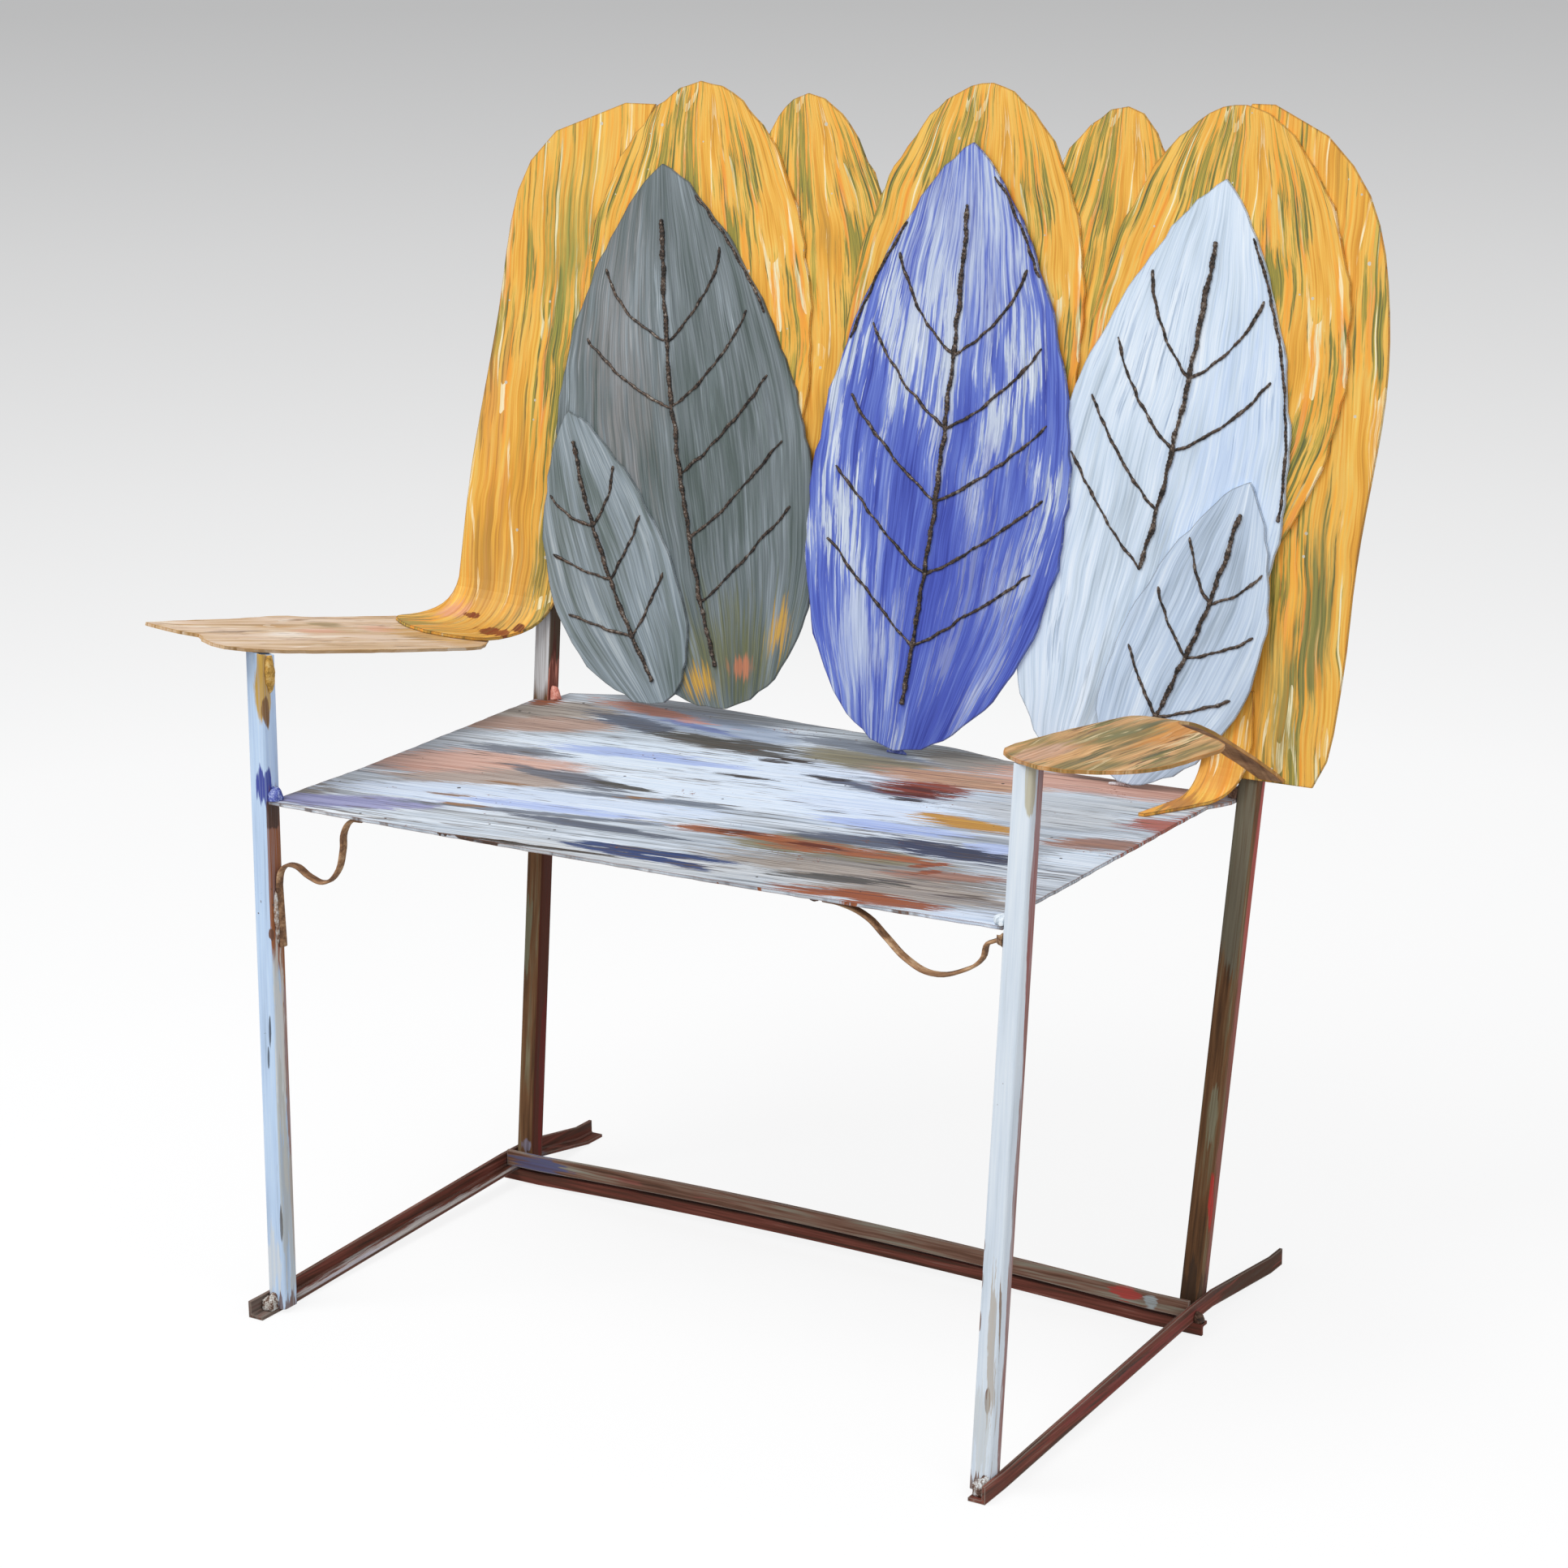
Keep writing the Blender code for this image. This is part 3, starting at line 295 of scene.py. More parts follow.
def facing(tree, direction):
    """1 on the faces that look along a direction, 0 on the others."""
    normal = add(tree, "NewGeometry").outputs["Normal"]
    share = add(tree, "VectorMath", {0: normal, 1: direction}, operation="DOT_PRODUCT")
    return add(tree, "MapRange", {"Value": share.outputs["Value"], "From Min": 0.35,
                                  "From Max": 0.7}).outputs["Result"]


def lay_dab(tree, ground, place, tear, load, dab):
    """Paints one dab over the ground colour, its rim torn and its middle thinned by the bristles."""
    # The torn rim and the soft edge eat into a dab, so it starts larger by what it will lose
    grow = 1 / (0.99 - 0.5 * dab.ragged - 0.5 * dab.soft)
    spot = add(tree, "Mapping", {
        "Vector": place, "Location": dab.at, "Rotation": turn_to((0.3, 0.5, 0.8), dab.along),
        "Scale": (dab.width * grow, dab.width * grow, dab.length * grow)}, vector_type="TEXTURE")
    depth = add(tree, "TexGradient", {"Vector": spot.outputs[0]}, gradient_type="SPHERICAL")
    torn = add(tree, "Math", {0: tear, 1: dab.ragged, 2: depth.outputs["Fac"]},
               operation="MULTIPLY_ADD")
    start = dab.ragged + 0.01
    cover = add(tree, "MapRange", {"Value": torn.outputs[0], "From Min": start,
                                   "From Max": start + dab.soft, "To Max": dab.cover}).outputs["Result"]
    cover = add(tree, "Math", {0: cover, 1: load}, operation="MULTIPLY").outputs[0]
    if dab.face:
        cover = add(tree, "Math", {0: cover, 1: facing(tree, dab.face)},
                    operation="MULTIPLY").outputs[0]
    return add(tree, "Mix", {0: cover, 6: ground, 7: srgb(dab.shade)}, data_type="RGBA").outputs[2]


def paint(name, tones, flow, mark=BRUSH_MARK, bristle=BRISTLE_LINE, torn=TORN_END, drag=0.2, patchy=0.0,
          under=None, dabs=(), lines=None, scuffs=None, splashes=None, chips=None, edge=None, rim=EDGE_REACH,
          reverse=None, roughness=(0.5, 0.75), gloss=0.3, relief=0.0003, metallic=0.0):
    """Brushed paint on steel: streaks along a flow, dabs over them, then chips and rust.

    tones are the stops that the streaks run through, drag how strongly the bristles show, patchy
    how much the streaks gather into patches, under (tones, level) the coat that shows where the
    brush ran dry, lines (shade, level) thin wavy strokes, scuffs, splashes and chips (shade,
    level) rubbed streaks, spilt drops and spots of bare metal, edge the shade of a worn edge and
    rim its reach, and reverse (direction, tones) the coat on the side that looks that way.
    """
    material = bpy.data.materials.new(name)
    material.use_nodes = True
    tree = material.node_tree
    shader = tree.nodes["Principled BSDF"]
    place = add(tree, "TexCoord").outputs["Object"]
    strokes = flow(tree, place)
    marks = add(tree, "Mapping", {"Vector": strokes, "Scale": (mark[0], mark[0], mark[1])},
                vector_type="TEXTURE")
    broad = add(tree, "TexNoise", {"Vector": marks.outputs[0], "Scale": 1.0, "Detail": 4.0,
                                   "Roughness": 0.55}).outputs["Fac"]
    hairs = add(tree, "Mapping", {"Vector": strokes, "Scale": (bristle[0], bristle[0], bristle[1])},
                vector_type="TEXTURE")
    bristles = add(tree, "TexNoise", {"Vector": hairs.outputs[0], "Scale": 1.0, "Detail": 2.0,
                                      "Roughness": 0.6}).outputs["Fac"]
    ends = add(tree, "Mapping", {"Vector": strokes, "Location": (0.11, 0.0, 0.53),
                                 "Scale": (torn[0], torn[0], torn[1])}, vector_type="TEXTURE")
    ragged = add(tree, "TexNoise", {"Vector": ends.outputs[0], "Scale": 1.0, "Detail": 5.0,
                                    "Roughness": 0.65}).outputs["Fac"]
    areas = add(tree, "Mapping", {"Vector": strokes, "Location": (0.71, 0.0, 0.13), "Scale": (
        COAT_PATCH[0], COAT_PATCH[0], COAT_PATCH[1])}, vector_type="TEXTURE")
    patches = add(tree, "TexNoise", {"Vector": areas.outputs[0], "Scale": 1.0, "Detail": 2.0}).outputs["Fac"]
    tear = add(tree, "MapRange", {"Value": ragged, "From Min": 0.32, "From Max": 0.68}).outputs["Result"]
    load = add(tree, "MapRange", {"Value": bristles, "From Min": 0.36, "From Max": 0.52,
                                  "To Min": 0.7}).outputs["Result"]
    streaks = add(tree, "Mix", {0: 0.18, 2: broad, 3: bristles}, data_type="FLOAT").outputs[0]
    gather = add(tree, "Math", {0: patches, 1: 0.5}, operation="SUBTRACT").outputs[0]
    tone = add(tree, "Math", {0: gather, 1: patchy, 2: streaks}, operation="MULTIPLY_ADD").outputs[0]
    colour = add(tree, "ValToRGB", {"Fac": tone}, stops=tones).outputs["Color"]
    if under:
        coat, level = under
        dry = add(tree, "Mix", {0: 0.45, 2: ragged, 3: patches}, data_type="FLOAT").outputs[0]
        gap = add(tree, "MapRange", {"Value": dry, "From Min": level, "From Max": level + 0.035})
        below = add(tree, "ValToRGB", {"Fac": bristles}, stops=coat).outputs["Color"]
        colour = add(tree, "Mix", {0: gap.outputs["Result"], 6: colour, 7: below},
                     data_type="RGBA").outputs[2]
    for dab in dabs:
        colour = lay_dab(tree, colour, place, tear, load, dab)
    if lines:
        shade, level = lines
        route = add(tree, "Mapping", {"Vector": strokes, "Location": (0.37, 0.0, 0.21), "Scale": (
            CREAM_LINE[0], CREAM_LINE[0], CREAM_LINE[1])}, vector_type="TEXTURE")
        field = add(tree, "TexNoise", {"Vector": route.outputs[0], "Scale": 1.0, "Detail": 1.0})
        off = add(tree, "Math", {0: field.outputs["Fac"], 1: level, 2: 0.013}, operation="COMPARE")
        drawn = add(tree, "Math", {0: off.outputs[0], 1: tear}, operation="MULTIPLY").outputs[0]
        drawn = add(tree, "MapRange", {"Value": drawn, "From Min": 0.45, "From Max": 0.75,
                                       "To Max": 0.8}).outputs["Result"]
        colour = add(tree, "Mix", {0: drawn, 6: colour, 7: srgb(shade)}, data_type="RGBA").outputs[2]
    if scuffs:
        shade, level = scuffs
        rubs = add(tree, "Mapping", {"Vector": strokes, "Location": (0.23, 0.0, 0.47), "Scale": (
            SCUFF[0], SCUFF[0], SCUFF[1])}, vector_type="TEXTURE")
        field = add(tree, "TexNoise", {"Vector": rubs.outputs[0], "Scale": 1.0, "Detail": 3.0})
        uneven = add(tree, "Mix", {0: 0.35, 2: field.outputs["Fac"], 3: patches}, data_type="FLOAT")
        rubbed = add(tree, "MapRange", {"Value": uneven.outputs[0], "From Min": level,
                                        "From Max": level + 0.06, "To Max": 0.8}).outputs["Result"]
        colour = add(tree, "Mix", {0: rubbed, 6: colour, 7: srgb(shade)}, data_type="RGBA").outputs[2]
    if splashes:
        shade, level = splashes
        cells = add(tree, "TexVoronoi", {"Vector": place, "Scale": 1 / SPLASH_SPACING}).outputs
        chance = add(tree, "SeparateXYZ", {0: cells["Color"]}).outputs["X"]
        size = add(tree, "MapRange", {"Value": chance, "From Min": level, "From Max": 1.0,
                                      "To Max": 0.16}).outputs["Result"]
        drop = add(tree, "Math", {0: cells["Distance"], 1: size}, operation="LESS_THAN").outputs[0]
        colour = add(tree, "Mix", {0: drop, 6: colour, 7: srgb(shade)}, data_type="RGBA").outputs[2]
    if reverse:
        direction, coat = reverse
        blotches = add(tree, "TexNoise", {"Vector": place, "Scale": 1 / RUST_BLOTCH, "Detail": 7.0,
                                          "Roughness": 0.68}).outputs["Fac"]
        plain = add(tree, "ValToRGB", {"Fac": blotches}, stops=coat).outputs["Color"]
        colour = add(tree, "Mix", {0: facing(tree, direction), 6: colour, 7: plain},
                     data_type="RGBA").outputs[2]
    scrape = add(tree, "MapRange", {"Value": bristles, "From Min": 0.34, "From Max": 0.66})
    colour = add(tree, "Mix", {0: drag, 6: colour, 7: scrape.outputs["Result"]}, data_type="RGBA",
                 blend_type="SOFT_LIGHT").outputs[2]
    if chips:
        shade, level = chips
        flakes = add(tree, "TexNoise", {"Vector": place, "Scale": 1 / CHIP, "Detail": 3.0,
                                        "Roughness": 0.55}).outputs["Fac"]
        worn = add(tree, "TexNoise", {"Vector": place, "Scale": 1 / WEAR_PATCH,
                                      "Detail": 2.0}).outputs["Fac"]
        both = add(tree, "Math", {0: worn, 1: 0.8, 2: flakes}, operation="MULTIPLY_ADD").outputs[0]
        bare = add(tree, "MapRange", {"Value": both, "From Min": level,
                                      "From Max": level + 0.03}).outputs["Result"]
        colour = add(tree, "Mix", {0: bare, 6: colour, 7: srgb(shade)}, data_type="RGBA").outputs[2]
    if edge:
        rounded = add(tree, "Bevel", {"Radius": rim}, samples=4).outputs[0]
        true = add(tree, "NewGeometry").outputs["Normal"]
        bend = add(tree, "VectorMath", {0: rounded, 1: true}, operation="DOT_PRODUCT")
        rub = add(tree, "Math", {0: ragged, 1: 0.16, 2: bend.outputs["Value"]}, operation="MULTIPLY_ADD")
        rubbed_edge = add(tree, "MapRange", {"Value": rub.outputs[0], "From Min": 1.06, "From Max": 0.93,
                                             "To Max": 0.85}).outputs["Result"]
        colour = add(tree, "Mix", {0: rubbed_edge, 6: colour, 7: srgb(edge)}, data_type="RGBA").outputs[2]
    shine = add(tree, "MapRange", {"Value": streaks, "From Min": 0.35, "From Max": 0.65,
                                   "To Min": roughness[0], "To Max": roughness[1]})
    ridges = add(tree, "Bump", {"Height": streaks, "Distance": relief, "Strength": 0.6})
    tree.links.new(colour, shader.inputs["Base Color"])
    tree.links.new(shine.outputs["Result"], shader.inputs["Roughness"])
    tree.links.new(ridges.outputs["Normal"], shader.inputs["Normal"])
    shader.inputs["Specular IOR Level"].default_value = gloss
    shader.inputs["Metallic"].default_value = metallic
    return material


def finish_node(name, material):
    """Gives a CAD node its finish."""
    NODES[name].data.materials.clear()
    NODES[name].data.materials.append(material)


def front_post(side, z, out=(0, 0)):
    """A place on a front post's centre line at height z, moved sideways by out."""
    return (MIDDLE_X + side * (HALF_SPAN + SPLAY * z) + out[0], FRONT_FOOT_Y + FRONT_LEAN * z + out[1], z)


def rear_post(side, z, out=(0, 0)):
    """A place on a rear post's centre line at height z, moved sideways by out."""
    return (MIDDLE_X + side * (HALF_SPAN + SPLAY * z) + out[0], REAR_FOOT_Y + RAKE * z + out[1], z)


def seat_patch(draw, shade, middle, spread, strokes, size, slant, ragged, soft):
    """A patch of one paint on the seat: strokes of like size and slant, strewn about its middle."""
    dabs = []
    for _ in range(strokes):
        x, y = (place + reach * draw.uniform(-1, 1) for place, reach in zip(middle, spread))
        angle = math.radians(slant + draw.uniform(-STROKE_SLIP, STROKE_SLIP))
        half_length = size[0] * draw.uniform(*STROKE_CHANGE)
        dabs.append(Dab(shade, (x, y, SEAT_TOP), size[1], half_length,
                        (math.cos(angle), math.sin(angle), 0), ragged, 1.0, None, soft))
    return dabs


def dress_frame():
    """Posts, runners and stretchers."""
    # Old gloss enamel: clean pale blue with faint upright brush lines, rust only where it was hit; one
    # painted light, one painted shade
    left_dabs = (
        Dab("C9A04A", front_post(-1, 0.590, (HALF_TUBE, -0.0080)), 0.0085, 0.036, UP, 0.4),
        Dab("7E5A36", front_post(-1, 0.563, (HALF_TUBE, -0.0060)), 0.004, 0.014, UP, 0.4),
        Dab("3F4A9C", front_post(-1, 0.494, (0.008, -0.009)), 0.011, 0.017, UP, 0.6),
        Dab("9E5E34", front_post(-1, 0.400, (HALF_TUBE, 0.003)), 0.016, 0.090,
            FRONT_POST_LINE[-1], 0.3, 1.0, RIGHT),
        Dab("4A3022", front_post(-1, 0.468, (HALF_TUBE, 0.002)), 0.016, 0.014, UP, 0.3, 1.0, RIGHT),
        Dab("6E4630", front_post(-1, 0.359, (0.0090, -0.0085)), 0.0030, 0.007, UP, 0.5),
        Dab("9C623A", front_post(-1, 0.270, (HALF_TUBE, 0.0070)), 0.0055, 0.190,
            FRONT_POST_LINE[-1], 0.5, 0.95, RIGHT),
        # White on the right-hand face, laid lighter than the paint: part paint, part painted light
        Dab("E6E6E0", front_post(-1, 0.245, (HALF_TUBE, -0.003)), 0.008, 0.110,
            FRONT_POST_LINE[-1], 0.6, 0.85, RIGHT),
        Dab("C4C6C0", front_post(-1, 0.12, (HALF_TUBE, 0.0)), 0.012, 0.100, UP, 0.8, 0.7, RIGHT),
        Dab("56606E", front_post(-1, 0.270, (0.004, -HALF_TUBE)), 0.0016, 0.020, UP, 0.5),
        Dab("56606E", front_post(-1, 0.243, (0.001, -HALF_TUBE)), 0.0012, 0.012, UP, 0.5),
        Dab("5E5850", front_post(-1, 0.090, (0.008, -HALF_TUBE)), 0.0014, 0.050, UP, 0.8),
        Dab("D9DEE0", front_post(-1, 0.045, (-0.003, -HALF_TUBE)), 0.010, 0.030, UP, 0.7, 0.8),
        Dab("6E4A3A", front_post(-1, 0.000), 0.020, 0.016, UP, 0.7, 0.9),
    )
    finish_node("left_front_post", paint(
        "pale blue gloss enamel on tube, with painted light", POST_BLUE, straight(FRONT_POST_LINE[-1], AWAY, 0.002),
        mark=(0.008, 0.13), dabs=left_dabs, drag=0.12, scuffs=("8E9AA4", 0.66), chips=("5A4A40", 1.19),
        gloss=0.4, roughness=(0.4, 0.6)))
    right_dabs = (
        Dab("8E463C", front_post(1, 0.52, (HALF_TUBE, 0.0050)), 0.0070, 0.17,
            FRONT_POST_LINE[1], 0.4, 0.95, RIGHT),
        Dab("8A5A50", front_post(1, 0.20, (HALF_TUBE, 0.0065)), 0.0055, 0.26,
            FRONT_POST_LINE[1], 0.5, 0.95, RIGHT),
        # Olive-tan on the front just under the arm plate: painted shade of the arm
        Dab("B5A87C", front_post(1, 0.600, (0.008, -HALF_TUBE)), 0.006, 0.026, UP, 0.5, 0.75),
        Dab("6B4632", front_post(1, 0.083, (0.003, -HALF_TUBE)), 0.0026, 0.011, UP, 0.3),
        Dab("6B4632", front_post(1, 0.150, (-HALF_TUBE, -0.009)), 0.0024, 0.010, UP, 0.3),
        Dab("6B4632", front_post(1, 0.185, (-HALF_TUBE, -0.009)), 0.0020, 0.008, UP, 0.3),
        Dab("6B4632", front_post(1, 0.215, (-HALF_TUBE, -0.009)), 0.0016, 0.006, UP, 0.3),
        Dab("8E7D70", front_post(1, 0.160, (0.0092, -0.0085)), 0.0012, 0.120, UP, 0.8),
        Dab("B0A08A", front_post(1, 0.110, (0.006, -HALF_TUBE)), 0.004, 0.090, UP, 0.9, 0.7),
        Dab("C4C6C2", front_post(1, 0.055, (-0.001, -HALF_TUBE)), 0.008, 0.034, UP, 0.8, 0.5),
        Dab("6E4A36", front_post(1, 0.002), 0.018, 0.014, UP, 0.8, 0.9),
    )
    finish_node("right_front_post", paint(
        "white-blue gloss enamel on tube, with painted shade", POST_WHITE, straight(FRONT_POST_LINE[1], AWAY, 0.002),
        mark=(0.008, 0.13), dabs=right_dabs, drag=0.10, chips=("6B4A38", 1.20), gloss=0.4,
        roughness=(0.4, 0.6)))
    # Thin brown paint that rust has come through: matt, warm, streaked upright
    left_rear_paint_and_shade = (
        Dab("CFCFD0", rear_post(-1, 0.640), 0.050, 0.160, REAR_POST_LINE[-1], 0.1, 1.0, -AWAY),
        # Dark on the right-hand face above the seat, under the wing plate: painted shade
        Dab("5A4A3C", rear_post(-1, 0.640), 0.050, 0.160, REAR_POST_LINE[-1], 0.1, 1.0, RIGHT),
        Dab("E2937F", rear_post(-1, 0.494, (HALF_TUBE, 0)), 0.012, 0.026,
            REAR_POST_LINE[-1], 0.6, 1.0, RIGHT),
        Dab("7A7860", rear_post(-1, 0.24, (-0.006, -HALF_TUBE)), 0.0045, 0.22, UP, 0.8, 0.9, -AWAY),
        Dab("8A8698", rear_post(-1, 0.034, (0.002, -HALF_TUBE)), 0.006, 0.008, UP, 0.7, 0.8),
        Dab("5C2A20", rear_post(-1, 0.24, (HALF_TUBE, 0)), 0.016, 0.28, REAR_POST_LINE[-1], 0.4, 0.9, RIGHT),
        Dab("7A2622", rear_post(-1, 0.11, (HALF_TUBE, 0.003)), 0.004, 0.080,
            REAR_POST_LINE[-1], 0.6, 0.8, RIGHT),
    )
    finish_node("left_rear_post", paint(
        "brown paint rusted through on tube, left", RUSTY, straight(REAR_POST_LINE[-1], AWAY, 0.002),
        mark=(0.007, 0.11), dabs=left_rear_paint_and_shade, roughness=(0.6, 0.8), gloss=0.2))
    right_rear_dabs = (
        Dab("726D5C", rear_post(1, 0.43, (0.0, -HALF_TUBE)), 0.014, 0.11, REAR_POST_LINE[1], 0.5, 0.9, -AWAY),
        Dab("8E8B72", rear_post(1, 0.20, (0.003, -HALF_TUBE)), 0.0035, 0.16, UP, 0.7, 0.85, -AWAY),
        Dab("C0605A", rear_post(1, 0.40, (HALF_TUBE, 0.0055)), 0.0060, 0.15,
            REAR_POST_LINE[1], 0.5, 0.9, RIGHT),
        Dab("9A6258", rear_post(1, 0.18, (HALF_TUBE, 0.0045)), 0.0075, 0.18,
            REAR_POST_LINE[1], 0.6, 0.9, RIGHT),
        Dab("C23A34", rear_post(1, 0.115, (HALF_TUBE, -0.004)), 0.004, 0.030, UP, 0.6, 0.9, RIGHT),
        Dab("3E3026", rear_post(1, 0.020), 0.022, 0.034, UP, 0.7, 0.8),
    )
    finish_node("right_rear_post", paint(
        "brown paint rusted through on tube, right", RUSTY, straight(REAR_POST_LINE[1], AWAY, 0.002),
        mark=(0.007, 0.11), dabs=right_rear_dabs, roughness=(0.6, 0.8), gloss=0.2))
    # Red lead under rust: dark red-brown lines along the bar, the rubbed edge paler
    left_runner_dabs = (
        Dab("B4AFAC", (-0.346, -0.07, 0.006), 0.020, 0.24, AWAY, 0.4, 0.95, UP),
        Dab("B4B2BE", (-0.350, -0.16, 0.006), 0.010, 0.09, AWAY, 0.6, 0.8, UP),
        Dab("7A736B", (-0.360, -0.290, 0.010), 0.022, 0.022, AWAY, 0.9, 0.7),
        Dab("A63A38", (-0.344, -0.12, 0.006), 0.003, 0.15, AWAY, 0.7, 0.9),
        Dab("6A6672", (-0.358, 0.13, 0.020), 0.014, 0.026, AWAY, 0.8, 0.8),
    )
    finish_node("left_runner", paint(
        "red lead and rust on angle iron, left", RED_RUST, straight(AWAY, RIGHT, 0.002),
        mark=(0.006, 0.10), dabs=left_runner_dabs, edge="8A7C70", roughness=(0.6, 0.85), gloss=0.2))
    right_runner_dabs = (
        Dab("84403A", (0.400, 0.02, 0.014), 0.010, 0.18, AWAY, 0.9, 0.8),
        Dab("4A3628", (0.402, 0.24, 0.014), 0.018, 0.09, AWAY, 0.6, 0.9),
    )
    finish_node("right_runner", paint(
        "red lead and rust on angle iron, right", RED_RUST, straight(AWAY, RIGHT, 0.002),
        mark=(0.006, 0.10), dabs=right_runner_dabs, edge="958A7E", roughness=(0.6, 0.85), gloss=0.2))
    # Grey-green paint rubbed off in long lines, brown rust and a little red between them
    upper_dabs = (
        Dab("5B5F86", (-0.323, 0.100, 0.024), 0.012, 0.030, RIGHT, 0.8, 0.9),
        Dab("9A5B50", (-0.12, 0.098, 0.030), 0.004, 0.12, RIGHT, 0.8, 0.8),
        Dab("C24A44", (0.327, 0.100, 0.026), 0.007, 0.013, RIGHT, 0.8, 0.95),
        Dab("B4BDBE", (0.352, 0.098, 0.024), 0.007, 0.008, RIGHT, 0.6),
    )
    finish_node("upper_stretcher", paint(
        "grey-green paint rubbed to rust on angle iron", GREY_RUST, straight(RIGHT, AWAY, 0.002),
        mark=(0.005, 0.12), dabs=upper_dabs, edge="A39A90", roughness=(0.6, 0.8), gloss=0.2))
    finish_node("lower_stretcher", paint(
        "red lead and rust on small angle iron", RED_RUST, straight(RIGHT, AWAY, 0.002),
        mark=(0.005, 0.12), roughness=(0.6, 0.85), gloss=0.2))


def dress_seat():
    """The seat's paints in patches.

    Each has its shade, middle and spread, how many strokes it takes, the half length and half
    width of a stroke, and the slant of the strokes in degrees.
    """
    coats = (
        ("A29990", (-0.31, 0.16), (0.02, 0.01), 2, (0.09, 0.035), 30),  # warm grey, rear left corner
        ("AE9386", (-0.31, 0.11), (0.02, 0.01), 2, (0.09, 0.025), 28),  # dull salmon below it
        ("CCA698", (-0.29, -0.05), (0.06, 0.01), 4, (0.08, 0.035), 30),  # salmon, left side
        ("A89A92", (-0.25, -0.09), (0.04, 0.03), 3, (0.07, 0.025), 22),  # warm grey beside it
        ("8A857F", (-0.35, -0.19), (0.01, 0.01), 1, (0.04, 0.025), 60),  # dark grey, left corner
        ("9AA7BB", (-0.14, 0.18), (0.06, 0.01), 3, (0.10, 0.030), -8),  # blue grey, rear edge
        ("837C62", (0.03, 0.14), (0.03, 0.01), 2, (0.07, 0.028), 4),  # olive grey, rear middle
        ("8A857F", (0.11, 0.18), (0.02, 0.01), 1, (0.07, 0.030), -4),  # dark grey, rear middle
        ("B88F72", (0.14, 0.12), (0.02, 0.01), 2, (0.07, 0.026), 5),  # tan, rear right
        ("C49888", (0.28, 0.17), (0.02, 0.01), 2, (0.10, 0.030), 0),  # salmon, rear right
        ("C0C5C9", (0.29, 0.08), (0.06, 0.03), 5, (0.07, 0.030), 6),  # pale grey, right side
        ("8A857F", (0.23, -0.17), (0.03, 0.01), 2, (0.11, 0.040), 4),  # dark grey, front right
        ("A29990", (0.22, -0.20), (0.09, 0.01), 3, (0.10, 0.028), 1),  # warm grey, front right
        ("837C62", (0.16, -0.13), (0.05, 0.02), 3, (0.06, 0.018), 4),  # olive grey, under the rust
        ("C0C5C9", (0.00, -0.23), (0.11, 0.01), 3, (0.10, 0.020), 6),  # pale grey, front edge
    )
    bands = (
        ("DAE6F2", (-0.19, 0.06), (0.10, 0.01), 4, (0.14, 0.034), 8),  # chalk white, left of the middle
        ("DAE6F2", (0.00, 0.00), (0.07, 0.01), 4, (0.15, 0.045), 4),  # chalk white, right of it
        ("DAE6F2", (0.35, -0.05), (0.01, 0.01), 1, (0.04, 0.025), 15),  # chalk white, right edge
        ("D0DDEE", (-0.16, -0.13), (0.08, 0.01), 4, (0.14, 0.030), 15),  # sky, in front
        ("D0DDEE", (0.14, -0.01), (0.02, 0.01), 1, (0.10, 0.025), -2),  # sky, right
        ("D0DDEE", (0.35, -0.24), (0.01, 0.00), 1, (0.04, 0.020), 10),  # sky, front right corner
        ("9496BC", (-0.28, -0.21), (0.02, 0.00), 2, (0.09, 0.020), 17),  # lilac, front left
        ("B4C4EA", (0.27, -0.06), (0.00, 0.00), 1, (0.03, 0.017), 0),  # periwinkle, right
    )
    drags = (
        ("5A6170", (-0.24, 0.15), (0.02, 0.01), 2, (0.05, 0.016), -10),  # slate, rear left
        ("4E4C48", (-0.09, 0.13), (0.09, 0.01), 4, (0.06, 0.012), -8),  # soot, behind the white
        ("747C88", (0.00, 0.17), (0.07, 0.02), 3, (0.05, 0.012), -6),  # grey, rear middle
        ("6C7AA8", (-0.18, 0.17), (0.01, 0.00), 1, (0.06, 0.007), -11),  # cobalt, rear edge
        ("5A6170", (0.07, 0.06), (0.01, 0.00), 1, (0.08, 0.008), -13),  # slate, off the rust
        ("747C88", (-0.27, 0.01), (0.01, 0.00), 1, (0.06, 0.014), 3),  # grey, left
        ("6A6E78", (-0.18, -0.04), (0.02, 0.01), 2, (0.06, 0.013), -9),  # slate, left of the middle
        ("4E4C48", (-0.11, -0.05), (0.01, 0.01), 1, (0.04, 0.007), -3),  # soot, at its tip
        ("747C88", (-0.06, -0.07), (0.05, 0.01), 3, (0.05, 0.006), 5),  # grey, under the white
        ("747C88", (-0.14, -0.16), (0.02, 0.00), 1, (0.13, 0.006), 15),  # grey, in front
        ("5A6170", (-0.07, -0.17), (0.01, 0.00), 1, (0.08, 0.008), 0),  # slate, in front
        ("ADBEE7", (-0.16, 0.05), (0.06, 0.01), 4, (0.07, 0.008), 8),  # blue, in the white
        ("ADBEE7", (0.16, -0.04), (0.02, 0.01), 2, (0.06, 0.009), 6),  # blue, right
        ("ADBEE7", (-0.13, -0.14), (0.01, 0.00), 1, (0.08, 0.010), 10),  # blue, in the sky
        ("5A6170", (0.18, -0.09), (0.02, 0.01), 2, (0.05, 0.014), 8),  # slate, right of the middle
        ("454A5E", (0.25, -0.09), (0.01, 0.01), 3, (0.06, 0.016), 0),  # ink, right
        ("334470", (0.03, -0.22), (0.03, 0.01), 4, (0.06, 0.008), 2),  # navy, front edge
        ("4E4C48", (0.20, -0.20), (0.02, 0.00), 1, (0.06, 0.009), 9),  # soot, front right
        ("9C7666", (0.28, -0.15), (0.01, 0.00), 1, (0.05, 0.013), 12),  # brown pink, front right
        ("9C7666", (0.35, 0.00), (0.01, 0.01), 2, (0.05, 0.013), 14),  # brown pink, right edge
    )
